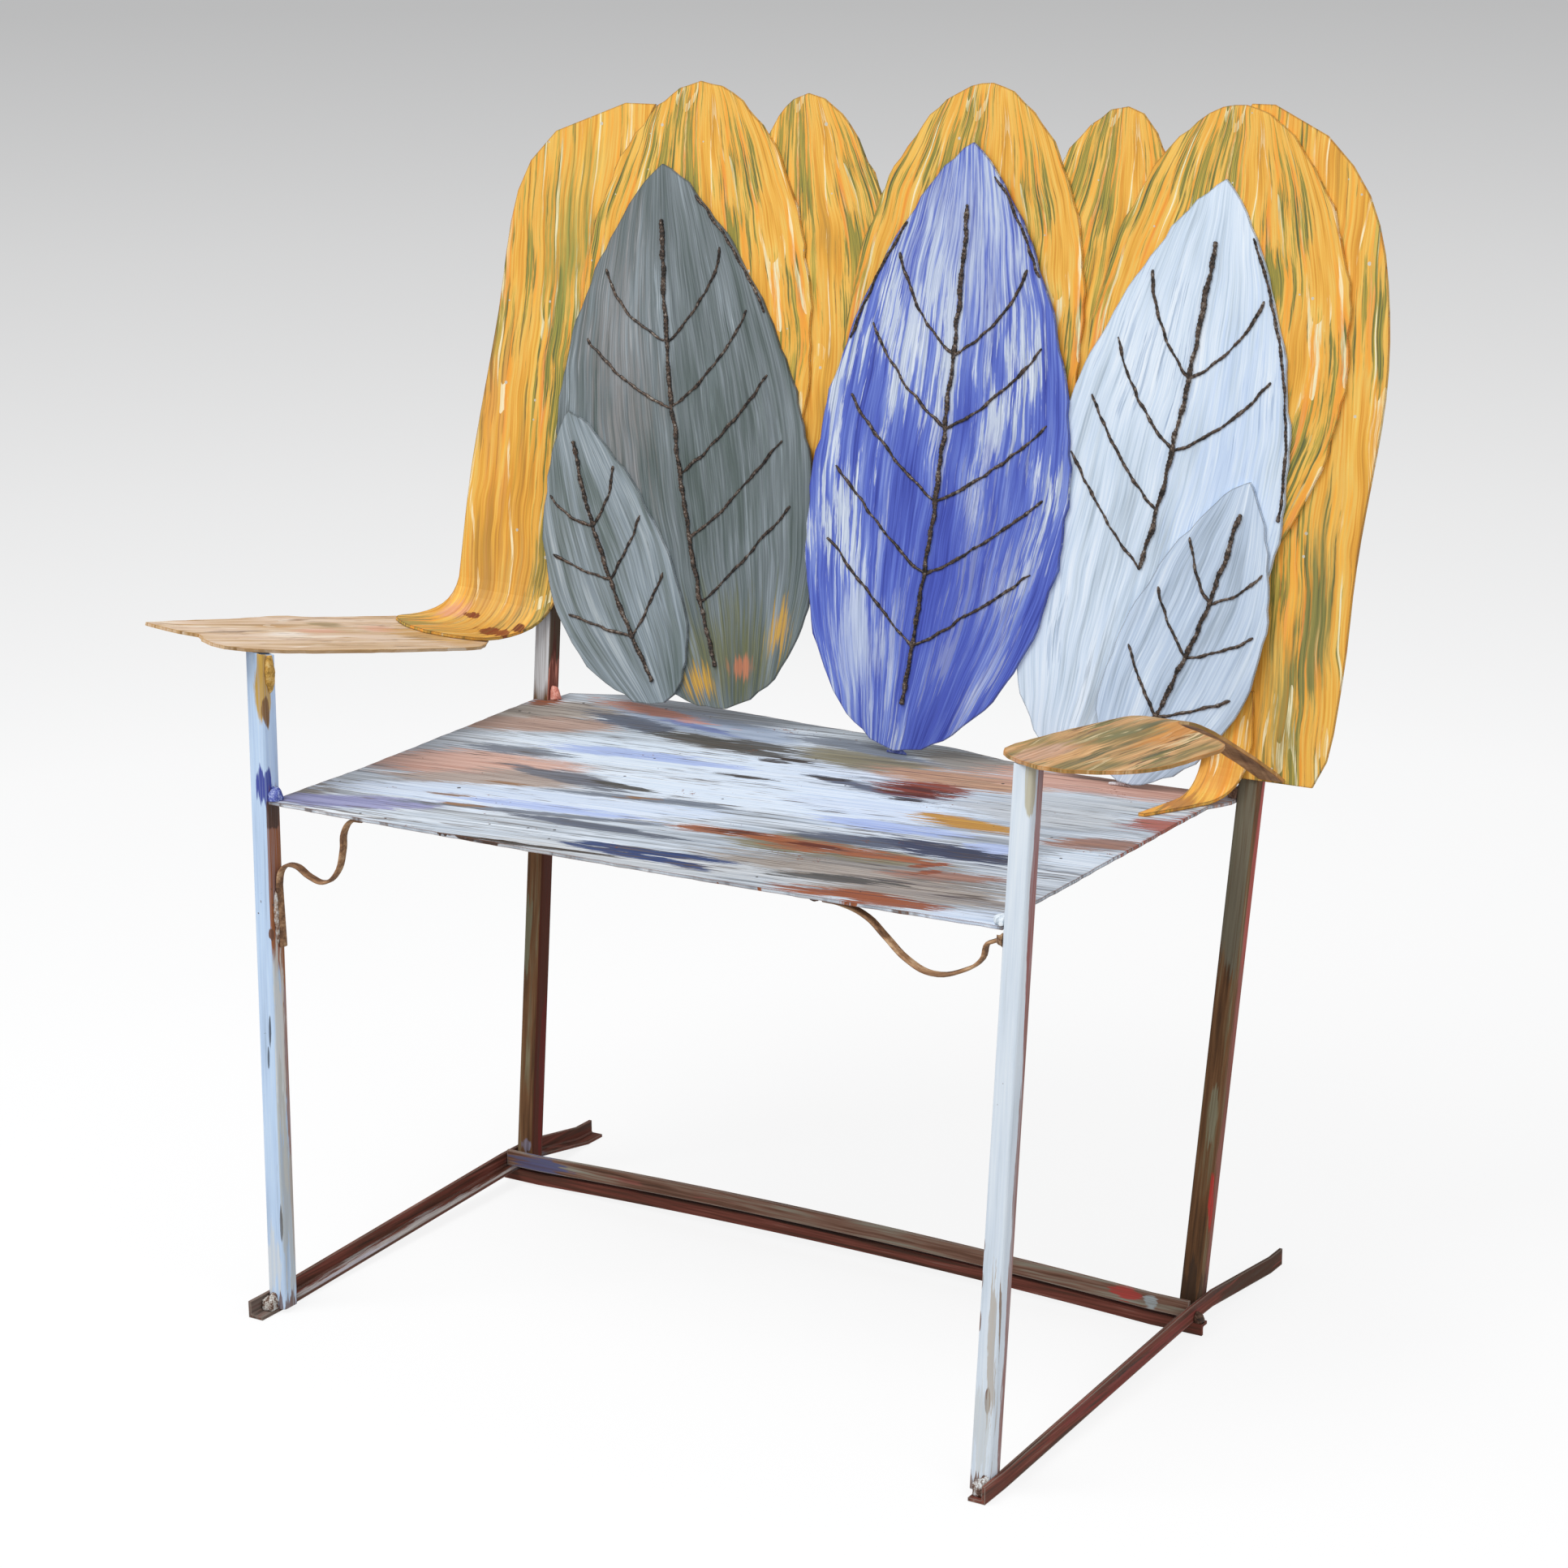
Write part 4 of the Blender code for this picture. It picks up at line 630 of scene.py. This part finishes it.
    rust = (
        ("CF8C78", (-0.24, 0.20), (0.01, 0.00), 1, (0.06, 0.013), -7),  # coral, rear edge
        ("8E5032", (-0.36, 0.18), (0.00, 0.00), 1, (0.02, 0.012), 55),  # dry rust, rear left corner
        ("985A38", (0.11, -0.13), (0.10, 0.01), 8, (0.035, 0.009), 5),  # dry rust, across the front
        ("8E5032", (0.24, -0.14), (0.02, 0.02), 3, (0.012, 0.006), 45),  # dry rust, flecks
        ("8E5032", (0.25, -0.23), (0.06, 0.01), 3, (0.04, 0.011), 5),  # dry rust, front edge
        ("84402A", (0.12, 0.08), (0.03, 0.01), 4, (0.035, 0.017), 0),  # dark rust, rear right
        ("5E2D1C", (0.12, 0.07), (0.02, 0.01), 2, (0.03, 0.006), 0),  # rust core, rear right
        ("5E2D1C", (0.11, -0.13), (0.05, 0.01), 2, (0.03, 0.005), 3),  # rust core, front
        ("BE8C3C", (0.22, 0.00), (0.01, 0.01), 2, (0.045, 0.014), -2),  # ochre, right of the middle
        ("8A6A50", (-0.12, -0.12), (0.12, 0.06), 4, (0.02, 0.004), 15),  # old varnish, left half
        ("A65E50", (0.38, -0.03), (0.00, 0.00), 1, (0.16, 0.005), 88),  # red brown, right edge
        ("A65E50", (0.37, 0.08), (0.00, 0.00), 1, (0.03, 0.022), 16),  # red brown, by the tongue
        ("3A3029", (0.10, 0.06), (0.15, 0.07), 5, (0.02, 0.005), 5),  # bare steel, scattered
        ("3A3029", (-0.10, -0.25), (0.01, 0.00), 1, (0.12, 0.004), 1),  # bare steel, front edge
    )
    draw = random.Random(SEAT_SEED)
    strokes = [dab for group, ragged, soft in (
        (coats, 0.60, 0.22), (bands, 0.50, 0.10), (drags, 0.70, 0.10), (rust, 0.80, 0.07))
        for patch in group for dab in seat_patch(draw, *patch, ragged, soft)]
    # House paints in many thin coats: chalky, torn at the ends of each stroke, steel and rust between
    finish_node("seat_sheet", paint(
        "house paints dragged over rusted sheet", SEAT_GREY, straight(SEAT_STROKE, AWAY, 0.003, False),
        mark=(0.006, 0.20), bristle=(0.0016, 0.14), torn=(0.0030, 0.055), drag=0.5, patchy=0.5, dabs=strokes,
        scuffs=("5C5149", 0.57), splashes=("3A332E", 0.86), chips=("7E4A30", 1.18), edge="7A5242",
        reverse=(-UP, PRIMER), relief=0.0004, gloss=0.25))


def dress_arms():
    """The arm plates and the scrolls under the seat."""
    under = (-UP, RED_RUST)
    left_dabs = (
        Dab("8B7A4E", (-0.462, -0.033, 0.590), 0.010, 0.024, AWAY, 0.6, 0.7, None, 0.3),
        Dab("DCA48A", (-0.445, 0.030, 0.575), 0.012, 0.030, AWAY, 0.6, 0.8, None, 0.3),
        Dab("C79A52", (-0.420, 0.080, 0.566), 0.030, 0.045, AWAY, 0.7, 0.8, None, 0.3),
        Dab("D9A58C", (-0.436, -0.060, 0.596), 0.008, 0.070, AWAY, 0.6, 0.85, None, 0.3),
        Dab("F0E6DA", (-0.424, -0.120, 0.606), 0.007, 0.080, AWAY, 0.6, 0.85, None, 0.3),
        Dab("B98E5C", (-0.452, -0.110, 0.606), 0.006, 0.080, AWAY, 0.6, 0.8, None, 0.3),
        Dab("4A3424", (-0.434, -0.196, 0.6188), 0.0011, 0.050, (-0.006, 0.097, -0.0185), 0.3),
    )
    right_dabs = (
        Dab("7C784C", (0.400, -0.080, 0.618), 0.020, 0.075, ARM_STROKE, 0.6, 0.85, None, 0.3),
        Dab("8A7F48", (0.360, -0.130, 0.618), 0.010, 0.060, ARM_STROKE, 0.6, 0.85, None, 0.3),
        Dab("C9A088", (0.395, -0.200, 0.618), 0.016, 0.050, ARM_STROKE, 0.6, 0.8, None, 0.3),
        Dab("CD8A3E", (0.440, -0.060, 0.612), 0.014, 0.070, ARM_STROKE, 0.6, 0.85, None, 0.3),
        Dab("C98A44", (0.430, -0.010, 0.600), 0.022, 0.040, ARM_STROKE, 0.7, 0.8, None, 0.3),
    )
    # Tan paint wiped thin along the arm, so that cream, pink and brown lines show beside each other
    finish_node("left_arm_plate", paint(
        "tan paint wiped thin on sheet", TAN, straight(AWAY, RIGHT, 0.003, False), mark=(0.009, 0.26),
        bristle=(0.0016, 0.18), drag=0.45, patchy=0.4, under=(WHEAT, 0.56), dabs=left_dabs,
        lines=("F0E4D2", 0.52), scuffs=("7E5C3E", 0.57), edge="BC8C40", rim=0.004, reverse=under, gloss=0.2))
    finish_node("right_arm_plate", paint(
        "olive and ochre paint wiped thin on sheet", OLIVE_OCHRE, straight(ARM_STROKE, RIGHT, 0.008, False),
        mark=(0.014, 0.14), bristle=(0.0026, 0.12), drag=0.3, patchy=0.9, under=(MOSS, 0.53), dabs=right_dabs,
        lines=("DCC79C", 0.53), scuffs=("6A4A30", 0.58), edge="BE7C36", rim=0.004, reverse=(-UP, SCALE_BROWN),
        gloss=0.2))
    # Mill scale gone to rust under a skin of old paint: matt and blotchy
    for side in ("left", "right"):
        finish_node(side + "_scroll_bracket", paint(
            "rust under a skin of old paint on strip, " + side, SCALE_BROWN, straight(RIGHT, AWAY, 0.01),
            mark=(0.010, 0.04), roughness=(0.6, 0.8), gloss=0.2))


def dress_back():
    """The leaf plates and the wings."""
    behind = (-OFF_BACK, PRIMER)
    wing_dabs = {
        "left_wing_plate": (
            Dab("8E9048", (-0.368, 0.248, 0.920), 0.026, 0.070, UP_RAKE, 0.9, 0.8, None, 0.4),
            Dab("E39A48", (-0.440, 0.200, 0.74), 0.020, 0.110, UP_RAKE, 0.8, 0.8, None, 0.4),
            Dab("BE9350", (-0.425, 0.165, 0.560), 0.060, 0.050, RIGHT, 0.8, 0.7, None, 0.5),
            Dab("D9987E", (-0.467, 0.174, 0.5640), 0.012, 0.020, AWAY, 0.6, 0.8, None, 0.3),
            Dab("7A3A1E", (-0.408, 0.154, 0.553), 0.009, 0.014, RIGHT, 0.7),
            Dab("7A3A1E", (-0.443, 0.175, 0.561), 0.005, 0.008, RIGHT, 0.6),
            Dab("8A4A26", (-0.396, 0.159, 0.551), 0.007, 0.008, AWAY, 0.6),
            Dab("6A321C", (-0.385, 0.174, 0.5545), 0.006, 0.010, AWAY, 0.6)),
        "right_wing_plate": (
            Dab("F0A040", (0.376, 0.196, 0.57), 0.018, 0.090, UP_RAKE, 0.8, 0.85, None, 0.4),
            Dab("7C7A46", (0.446, 0.208, 0.65), 0.014, 0.080, UP_RAKE, 0.8, 0.8, None, 0.4),
            Dab("7C7A46", (0.424, 0.195, 0.563), 0.014, 0.060, UP_RAKE, 0.8, 0.8, None, 0.4)),
        "right_wing_tongue": (
            Dab("E09A40", (0.368, 0.180, 0.508), 0.018, 0.040, AWAY, 0.7, 0.9, None, 0.3),
            Dab("B5783C", (0.352, 0.142, 0.487), 0.014, 0.020, AWAY, 0.6, 0.9, None, 0.3)),
    }
    # Marigold brushed wet over olive: long soft streaks that follow each plate, cream lines on top
    for name, leaf in LEAVES.items():
        if name.startswith("crest"):
            finish_node(name, paint(
                "marigold enamel brushed wet over olive, " + name, MARIGOLD, leafwise(leaf, 0.012),
                mark=(0.015, 0.20), drag=0.3, patchy=0.6, under=(OLIVE, 0.525), lines=("FBEFC4", 0.52),
                splashes=("C9C2B0", 0.8), edge="6E3E26", reverse=behind))
    for name, lean, dry in (("left_wing_plate", 0.06, 0.515), ("right_wing_plate", -0.05, 0.525),
                            ("right_wing_tongue", 0.1, 0.58)):
        finish_node(name, paint(
            "marigold enamel brushed wet over olive, " + name, MARIGOLD,
            straight(ROUND_THE_BEND + RIGHT * lean, RIGHT, 0.014, False), mark=(0.015, 0.24), drag=0.3,
            patchy=0.6, under=(OLIVE, dry), dabs=wing_dabs[name], lines=("FBEFC4", 0.52),
            splashes=("C9C2B0", 0.7), edge="6E3E26", reverse=behind))
    left, right, centre = LEAVES["left_leaf"], LEAVES["right_leaf"], LEAVES["centre_leaf"]
    leaf_dabs = {
        "left_leaf": (
            leaf_dab("4E5A56", left, 0.45, 0.35, 0.030, 0.090, 0.9, 0.7, 0.5),
            leaf_dab("8B8785", left, 0.60, -0.45, 0.024, 0.110, 0.95, 0.6, 0.5),
            leaf_dab("6A6A3C", left, 0.10, 0.1, 0.050, 0.036, 0.9, 0.7, 0.5),
            leaf_dab("D2A03C", left, 0.055, -0.3, 0.012, 0.014, 0.9, 0.9, 0.3),
            leaf_dab("D2A03C", left, 0.13, 0.75, 0.008, 0.020, 0.9, 0.8, 0.3),
            leaf_dab("C77A5A", left, 0.075, 0.35, 0.009, 0.008, 0.9, 0.8, 0.3)),
        "centre_leaf": (
            leaf_dab("B9C5DE", centre, 0.84, 0.0, 0.060, 0.070, 0.95, 0.75, 0.4),
            leaf_dab("4453B0", centre, 0.26, 0.25, 0.050, 0.090, 0.9, 0.75, 0.4),
            leaf_dab("B4C0DC", centre, 0.16, -0.55, 0.022, 0.060, 0.95, 0.75, 0.3)),
        "right_leaf": (
            leaf_dab("BFD3F0", right, 0.50, 0.5, 0.030, 0.120, 0.9, 0.7, 0.5),
            leaf_dab("9AA3A8", right, 0.16, 0.0, 0.012, 0.050, 0.95, 0.6, 0.4)),
    }
    # Brush-grained enamels: dry upright streaks, the coat below showing through where they part
    for name, finish, tones, under in (
            ("left_leaf", "slate enamel brushed dry", CHARCOAL, (BLUE_GREY, 0.56)),
            ("right_leaf", "sky blue enamel brushed dry", PALE_BLUE, (PALE_GREY, 0.56)),
            ("centre_leaf", "cobalt enamel dragged thin over white", COBALT, (DUSTY_WHITE, 0.52)),
            ("lower_left_leaf", "blue-grey enamel brushed dry", BLUE_GREY, (CHARCOAL, 0.58)),
            ("lower_right_leaf", "pale grey-blue enamel brushed dry", PALE_GREY, (PALE_BLUE, 0.56))):
        finish_node(name, paint(
            finish, tones, leafwise(LEAVES[name]), mark=(0.009, 0.15), drag=0.28, patchy=0.6, under=under,
            dabs=leaf_dabs.get(name, ()), edge="3F3A36", reverse=behind, gloss=0.25))


def place_piece(name, bm, stands_for=None):
    """Makes a bmesh a smooth piece of the bench that rides on its one body."""
    mesh = bpy.data.meshes.new(name)
    for face in bm.faces:
        face.smooth = True
    bm.to_mesh(mesh)
    bm.free()
    piece = bpy.data.objects.new(name, mesh)
    bpy.context.scene.collection.objects.link(piece)
    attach(piece, "root")
    if stands_for:
        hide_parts(stands_for)
    return piece


def weld_bead(name, route, radius, stands_for=None):
    """A rippled bead of weld metal laid by hand along a route, its foot sunk in the sheet."""
    bm = bmesh.new()
    ring = bmesh.ops.create_circle(bm, cap_ends=True, segments=8, radius=1.0)["verts"]
    edges = list({edge for vert in ring for edge in vert.link_edges})
    before = Matrix()
    last = len(route) - 1
    for index, point in enumerate(route):
        heading = (route[min(index + 1, last)] - route[max(index - 1, 0)]).normalized()
        sideways = heading.cross(OFF_BACK).normalized()
        swell = radius * (1 + BEAD_RIPPLE * math.sin(index * BEAD_TURN)
                          + BEAD_SWELL * noise.noise(point * BEAD_LUMPS))
        if index in (0, last):
            swell *= BEAD_END
        sway = sideways * BEAD_SWAY * noise.noise(point * BEAD_WAVES + OFF_BACK)
        frame_here = Matrix((sideways * swell, OFF_BACK * swell * BEAD_HEIGHT,
                             heading * swell)).transposed()
        here = Matrix.Translation(point + sway) @ frame_here.to_4x4()
        if index:
            grown = bmesh.ops.extrude_edge_only(bm, edges=edges)["geom"]
            ring = [item for item in grown if isinstance(item, bmesh.types.BMVert)]
            edges = [item for item in grown if isinstance(item, bmesh.types.BMEdge)
                     and item.verts[0] in ring and item.verts[1] in ring]
        bmesh.ops.transform(bm, matrix=here @ before.inverted(), verts=ring)
        before = here
    bmesh.ops.contextual_create(bm, geom=edges)
    bmesh.ops.recalc_face_normals(bm, faces=bm.faces)
    return place_piece(name, bm, stands_for)


def roughen(bm, lump, grain):
    """Pushes a surface in and out, as the knobs and pits of laid metal."""
    bm.normal_update()
    for vert in bm.verts:
        rise = noise.noise(vert.co / grain) + PIT_SHARE * noise.noise(vert.co / grain * PIT_FINENESS)
        vert.co += vert.normal * lump * rise


def knobbly(name):
    """A weld's CAD solid made again with the knobs and pits of laid metal."""
    bm = bmesh.new()
    bm.from_mesh(NODES[name].data)
    bmesh.ops.remove_doubles(bm, verts=bm.verts, dist=1e-5)
    bmesh.ops.subdivide_edges(bm, edges=bm.edges, cuts=2, use_grid_fill=True)
    bmesh.ops.triangulate(bm, faces=bm.faces)
    bmesh.ops.smooth_vert(bm, verts=bm.verts, factor=0.5, use_axis_x=True, use_axis_y=True,
                          use_axis_z=True)
    roughen(bm, *WELD_KNOB)
    return place_piece(name + "_laid", bm, name)


def slag_drop(name, at, size):
    """A drop of slag that set on an edge."""
    bm = bmesh.new()
    bmesh.ops.create_icosphere(bm, subdivisions=3, radius=1.0)
    bmesh.ops.scale(bm, vec=size, verts=bm.verts)
    bmesh.ops.translate(bm, vec=at, verts=bm.verts)
    roughen(bm, *SLAG_KNOB)
    return place_piece(name, bm)


def dress_ribs():
    """Midribs, side veins and edge seams in weld bead on the front leaves."""
    # Weld bead after a wire brush: nearly black, with a steel glint along each ripple
    bead = paint("weld bead, wire-brushed and dull", BEAD_STEEL, straight(UP, RIGHT), mark=(0.004, 0.004),
                 bristle=(0.001, 0.001), roughness=(0.3, 0.55), gloss=0.5, metallic=0.6)
    ribs = {"left_leaf": 0.08, "right_leaf": 0.36, "centre_leaf": 0.08, "lower_left_leaf": 0.08,
            "lower_right_leaf": 0.08}
    pairs = tuple((side, t) for side in (-1, 1) for t in (0.24, 0.44, 0.62))
    veins = {"left_leaf": ((1, 0.20), (1, 0.32), (1, 0.44), (1, 0.56), (1, 0.68), (-1, 0.56), (-1, 0.68)),
             "right_leaf": ((-1, 0.36), (-1, 0.46), (-1, 0.56), (-1, 0.68), (1, 0.56), (1, 0.68)),
             "centre_leaf": tuple((side, t) for side in (-1, 1) for t in (0.18, 0.30, 0.42, 0.54, 0.66)),
             "lower_left_leaf": pairs, "lower_right_leaf": pairs}
    seams = {"left_leaf": ((1, 0.70, 0.93),), "right_leaf": ((1, 0.50, 0.92),),
             "centre_leaf": ((-1, 0.66, 0.86), (1, 0.80, 0.95))}
    for name, start in ribs.items():
        leaf = LEAVES[name]
        length = (leaf.tip - leaf.base).length
        count = round(length * (RIB_TOP - start) / BEAD_STEP)
        route = [leaf_point(leaf, start + (RIB_TOP - start) * i / count, 0.0, RIB_LIFT)
                 for i in range(count + 1)]
        weld_bead(name + "_midrib", route, MIDRIB, name + "_rib").data.materials.append(bead)
        for number, (side, t) in enumerate(veins[name]):
            count = LONG_VEIN_STEPS if length > LONG_LEAF else SHORT_VEIN_STEPS
            route = [leaf_point(leaf, t + VEIN_RISE * (i / count) ** VEIN_CURVE,
                                side * VEIN_REACH * i / count, VEIN_LIFT)
                     for i in range(count + 1)]
            vein = weld_bead(f"{name}_vein_{number + 1}", route, VEIN)
            vein.data.materials.append(bead)
        for number, (side, low, high) in enumerate(seams.get(name, ())):
            count = round(length * (high - low) / BEAD_STEP)
            route = [leaf_point(leaf, low + (high - low) * i / count, side, VEIN_LIFT, SEAM_INSET)
                     for i in range(count + 1)]
            seam = weld_bead(f"{name}_seam_{number + 1}", route, VEIN)
            seam.data.materials.append(bead)


def dress_welds():
    """The lumps of weld metal at the joints, each under the paint of what it joins."""
    coats = {
        "left_front_foot_weld": ((0.36, "4A3228"), (0.46, "6E5244"), (0.54, "B9B4AC"), (0.64, "DADCDA")),
        "right_front_foot_weld": ((0.36, "4A3228"), (0.46, "6E5244"), (0.54, "C5C6C4"), (0.64, "E2E6E8")),
        "left_front_seat_weld": ((0.36, "39428F"), (0.50, "5A66AE"), (0.64, "A9B4D8")),
        "right_front_seat_weld": ((0.36, "B4C0CA"), (0.50, "D6E0E8"), (0.64, "EDF2F5")),
        "left_rear_seat_weld": ((0.36, "B56A5C"), (0.50, "D98A78"), (0.64, "E8AE9E")),
        "right_rear_seat_weld": ((0.36, "5A463A"), (0.50, "8A6A58"), (0.64, "A88A78")),
        "left_arm_weld": ((0.36, "9A7430"), (0.50, "CFA04A"), (0.64, "E2BE78")),
        "right_arm_weld": ((0.36, "5A4A38"), (0.50, "8A7A5A"), (0.64, "A89A78")),
        "left_bracket_weld": ((0.36, "7A5A48"), (0.48, "B09C8C"), (0.60, "D5D6D4")),
        "right_bracket_weld": ((0.36, "6A4A36"), (0.50, "9A7858"), (0.64, "C4A888")),
        "centre_leaf_weld": ((0.36, "39428F"), (0.50, "5A66AE"), (0.64, "8A94C4")),
        "right_leaf_weld": ((0.36, "8A7A78"), (0.50, "C8BCBC"), (0.64, "DDE2E8")),
        "left_wing_weld": ((0.36, "8A6A34"), (0.50, "C99A48"), (0.64, "DDB878")),
        "right_wing_weld": ((0.36, "7A5A34"), (0.50, "B98A44"), (0.64, "D0A868")),
    }
    rusted = ((0.36, "33241C"), (0.50, "5A4032"), (0.64, "7A6252"))
    # Weld metal under a brushed coat: knobs that catch the light, rust in the pits
    for name in sorted(NODES):
        if name.endswith("_weld"):
            knobbly(name).data.materials.append(paint(
                "painted weld metal, " + name, coats.get(name, rusted), straight(UP, RIGHT, 0.002),
                mark=(0.006, 0.006), bristle=(0.0015, 0.0015), roughness=(0.45, 0.7)))
    slag = paint("slag gone to rust", rusted, straight(UP, RIGHT, 0.002), mark=(0.003, 0.003),
                 bristle=(0.001, 0.001), roughness=(0.6, 0.8), gloss=0.2)
    for number, (x, inward) in enumerate(((-0.2355, 0.0085), (0.210, 0.0005))):
        at = (x, SEAT_FRONT_Y + inward, SEAT_TOP - SHEET)
        drop = slag_drop(f"seat_edge_slag_{number + 1}", at, SLAG_SIZE)
        drop.data.materials.append(slag)


def set_stage():
    """Pale floor that greys with distance, soft light from the front left, and the camera."""
    scene = bpy.context.scene
    scene.view_settings.view_transform = "Standard"
    azimuth, elevation, roll = (math.radians(angle) for angle in CAMERA_TURN)
    back = Vector((math.sin(azimuth) * math.cos(elevation), -math.cos(azimuth) * math.cos(elevation),
                   math.sin(elevation)))
    across = Vector((math.cos(azimuth), math.sin(azimuth), 0))
    above = back.cross(across)
    side = across * math.cos(roll) + above * math.sin(roll)
    top = above * math.cos(roll) - across * math.sin(roll)
    eye = CAMERA_AIM + back * CAMERA_DISTANCE
    camera = bpy.data.objects.new("camera", bpy.data.cameras.new("camera"))
    camera.matrix_world = Matrix.Translation(eye) @ Matrix((side, top, back)).transposed().to_4x4()
    camera.data.lens, camera.data.sensor_width = CAMERA_LENS, CAMERA_SENSOR
    scene.collection.objects.link(camera)
    scene.camera = camera

    for name, place, size, power in (("key", (-1.4, -2.4, 4.4), 2.8, 150.0),
                                     ("fill", (3.4, -2.0, 2.4), 2.6, 40.0)):
        lamp = bpy.data.lights.new(name, "AREA")
        lamp.size, lamp.energy = size, power
        lit = bpy.data.objects.new(name, lamp)
        lit.matrix_world = (Matrix.Translation(place)
                            @ (Vector(place) - LAMP_AIM).to_track_quat("Z", "Y")
                            .to_matrix().to_4x4())
        scene.collection.objects.link(lit)

    world = bpy.data.worlds.new("studio")
    world.use_nodes = True
    scene.world = world
    tree = world.node_tree
    ray = add(tree, "LightPath").outputs
    seen = add(tree, "Math", {0: ray["Is Camera Ray"], 1: ray["Is Glossy Ray"]}, operation="MAXIMUM")
    shade = add(tree, "Mix", {0: seen.outputs[0], 6: srgb("C4C5C8"), 7: srgb("BABABA")},
                data_type="RGBA")
    tree.links.new(shade.outputs[2], tree.nodes["Background"].inputs["Color"])

    floor_mesh = bpy.data.meshes.new("studio_floor")
    bm = bmesh.new()
    bmesh.ops.create_grid(bm, x_segments=1, y_segments=1, size=FLOOR_HALF)
    bmesh.ops.translate(bm, verts=bm.verts, vec=(0, 0, -FLOOR_DROP))
    bm.to_mesh(floor_mesh)
    bm.free()
    floor = bpy.data.objects.new("studio_floor", floor_mesh)
    scene.collection.objects.link(floor)
    # Matt white paper: it takes the shadow of the bench, and greys towards the horizon
    material = bpy.data.materials.new("white studio floor")
    material.use_nodes = True
    tree = material.node_tree
    place = add(tree, "TexCoord").outputs["Object"]
    reach = add(tree, "VectorMath", {0: place}, operation="LENGTH").outputs["Value"]
    far = add(tree, "Math", {0: reach, 1: EYE_REACH}, operation="ADD").outputs[0]
    dip = add(tree, "Math", {0: EYE_HEIGHT, 1: far}, operation="DIVIDE").outputs[0]
    grey = add(tree, "ValToRGB", {"Fac": dip}, stops=(
        (0.053, "BABABA"), (0.118, "D7D7D7"), (0.186, "ECECEC"), (0.255, "FBFBFB"),
        (0.33, "FFFFFF"))).outputs["Color"]
    ray = add(tree, "LightPath").outputs
    seen = add(tree, "Math", {0: ray["Is Camera Ray"], 1: ray["Is Glossy Ray"]}, operation="MAXIMUM")
    seen = add(tree, "Math", {0: seen.outputs[0], 1: ray["Is Transmission Ray"]}, operation="MAXIMUM")
    lit = add(tree, "Math", {0: seen.outputs[0], 1: FLOOR_GLOW}, operation="MULTIPLY")
    glow = add(tree, "Emission", {"Color": grey})
    matt = tree.nodes["Principled BSDF"]
    bounce = add(tree, "Mix", {0: seen.outputs[0], 6: srgb("B4B4B4"), 7: srgb("FCFCFC")}, data_type="RGBA")
    tree.links.new(bounce.outputs[2], matt.inputs["Base Color"])
    matt.inputs["Roughness"].default_value = 1.0
    both = add(tree, "MixShader", {0: lit.outputs[0], 1: matt.outputs[0], 2: glow.outputs[0]})
    tree.links.new(both.outputs[0], tree.nodes["Material Output"].inputs["Surface"])
    floor_mesh.materials.append(material)


dress_frame()
dress_seat()
dress_arms()
dress_back()
dress_ribs()
dress_welds()
set_stage()
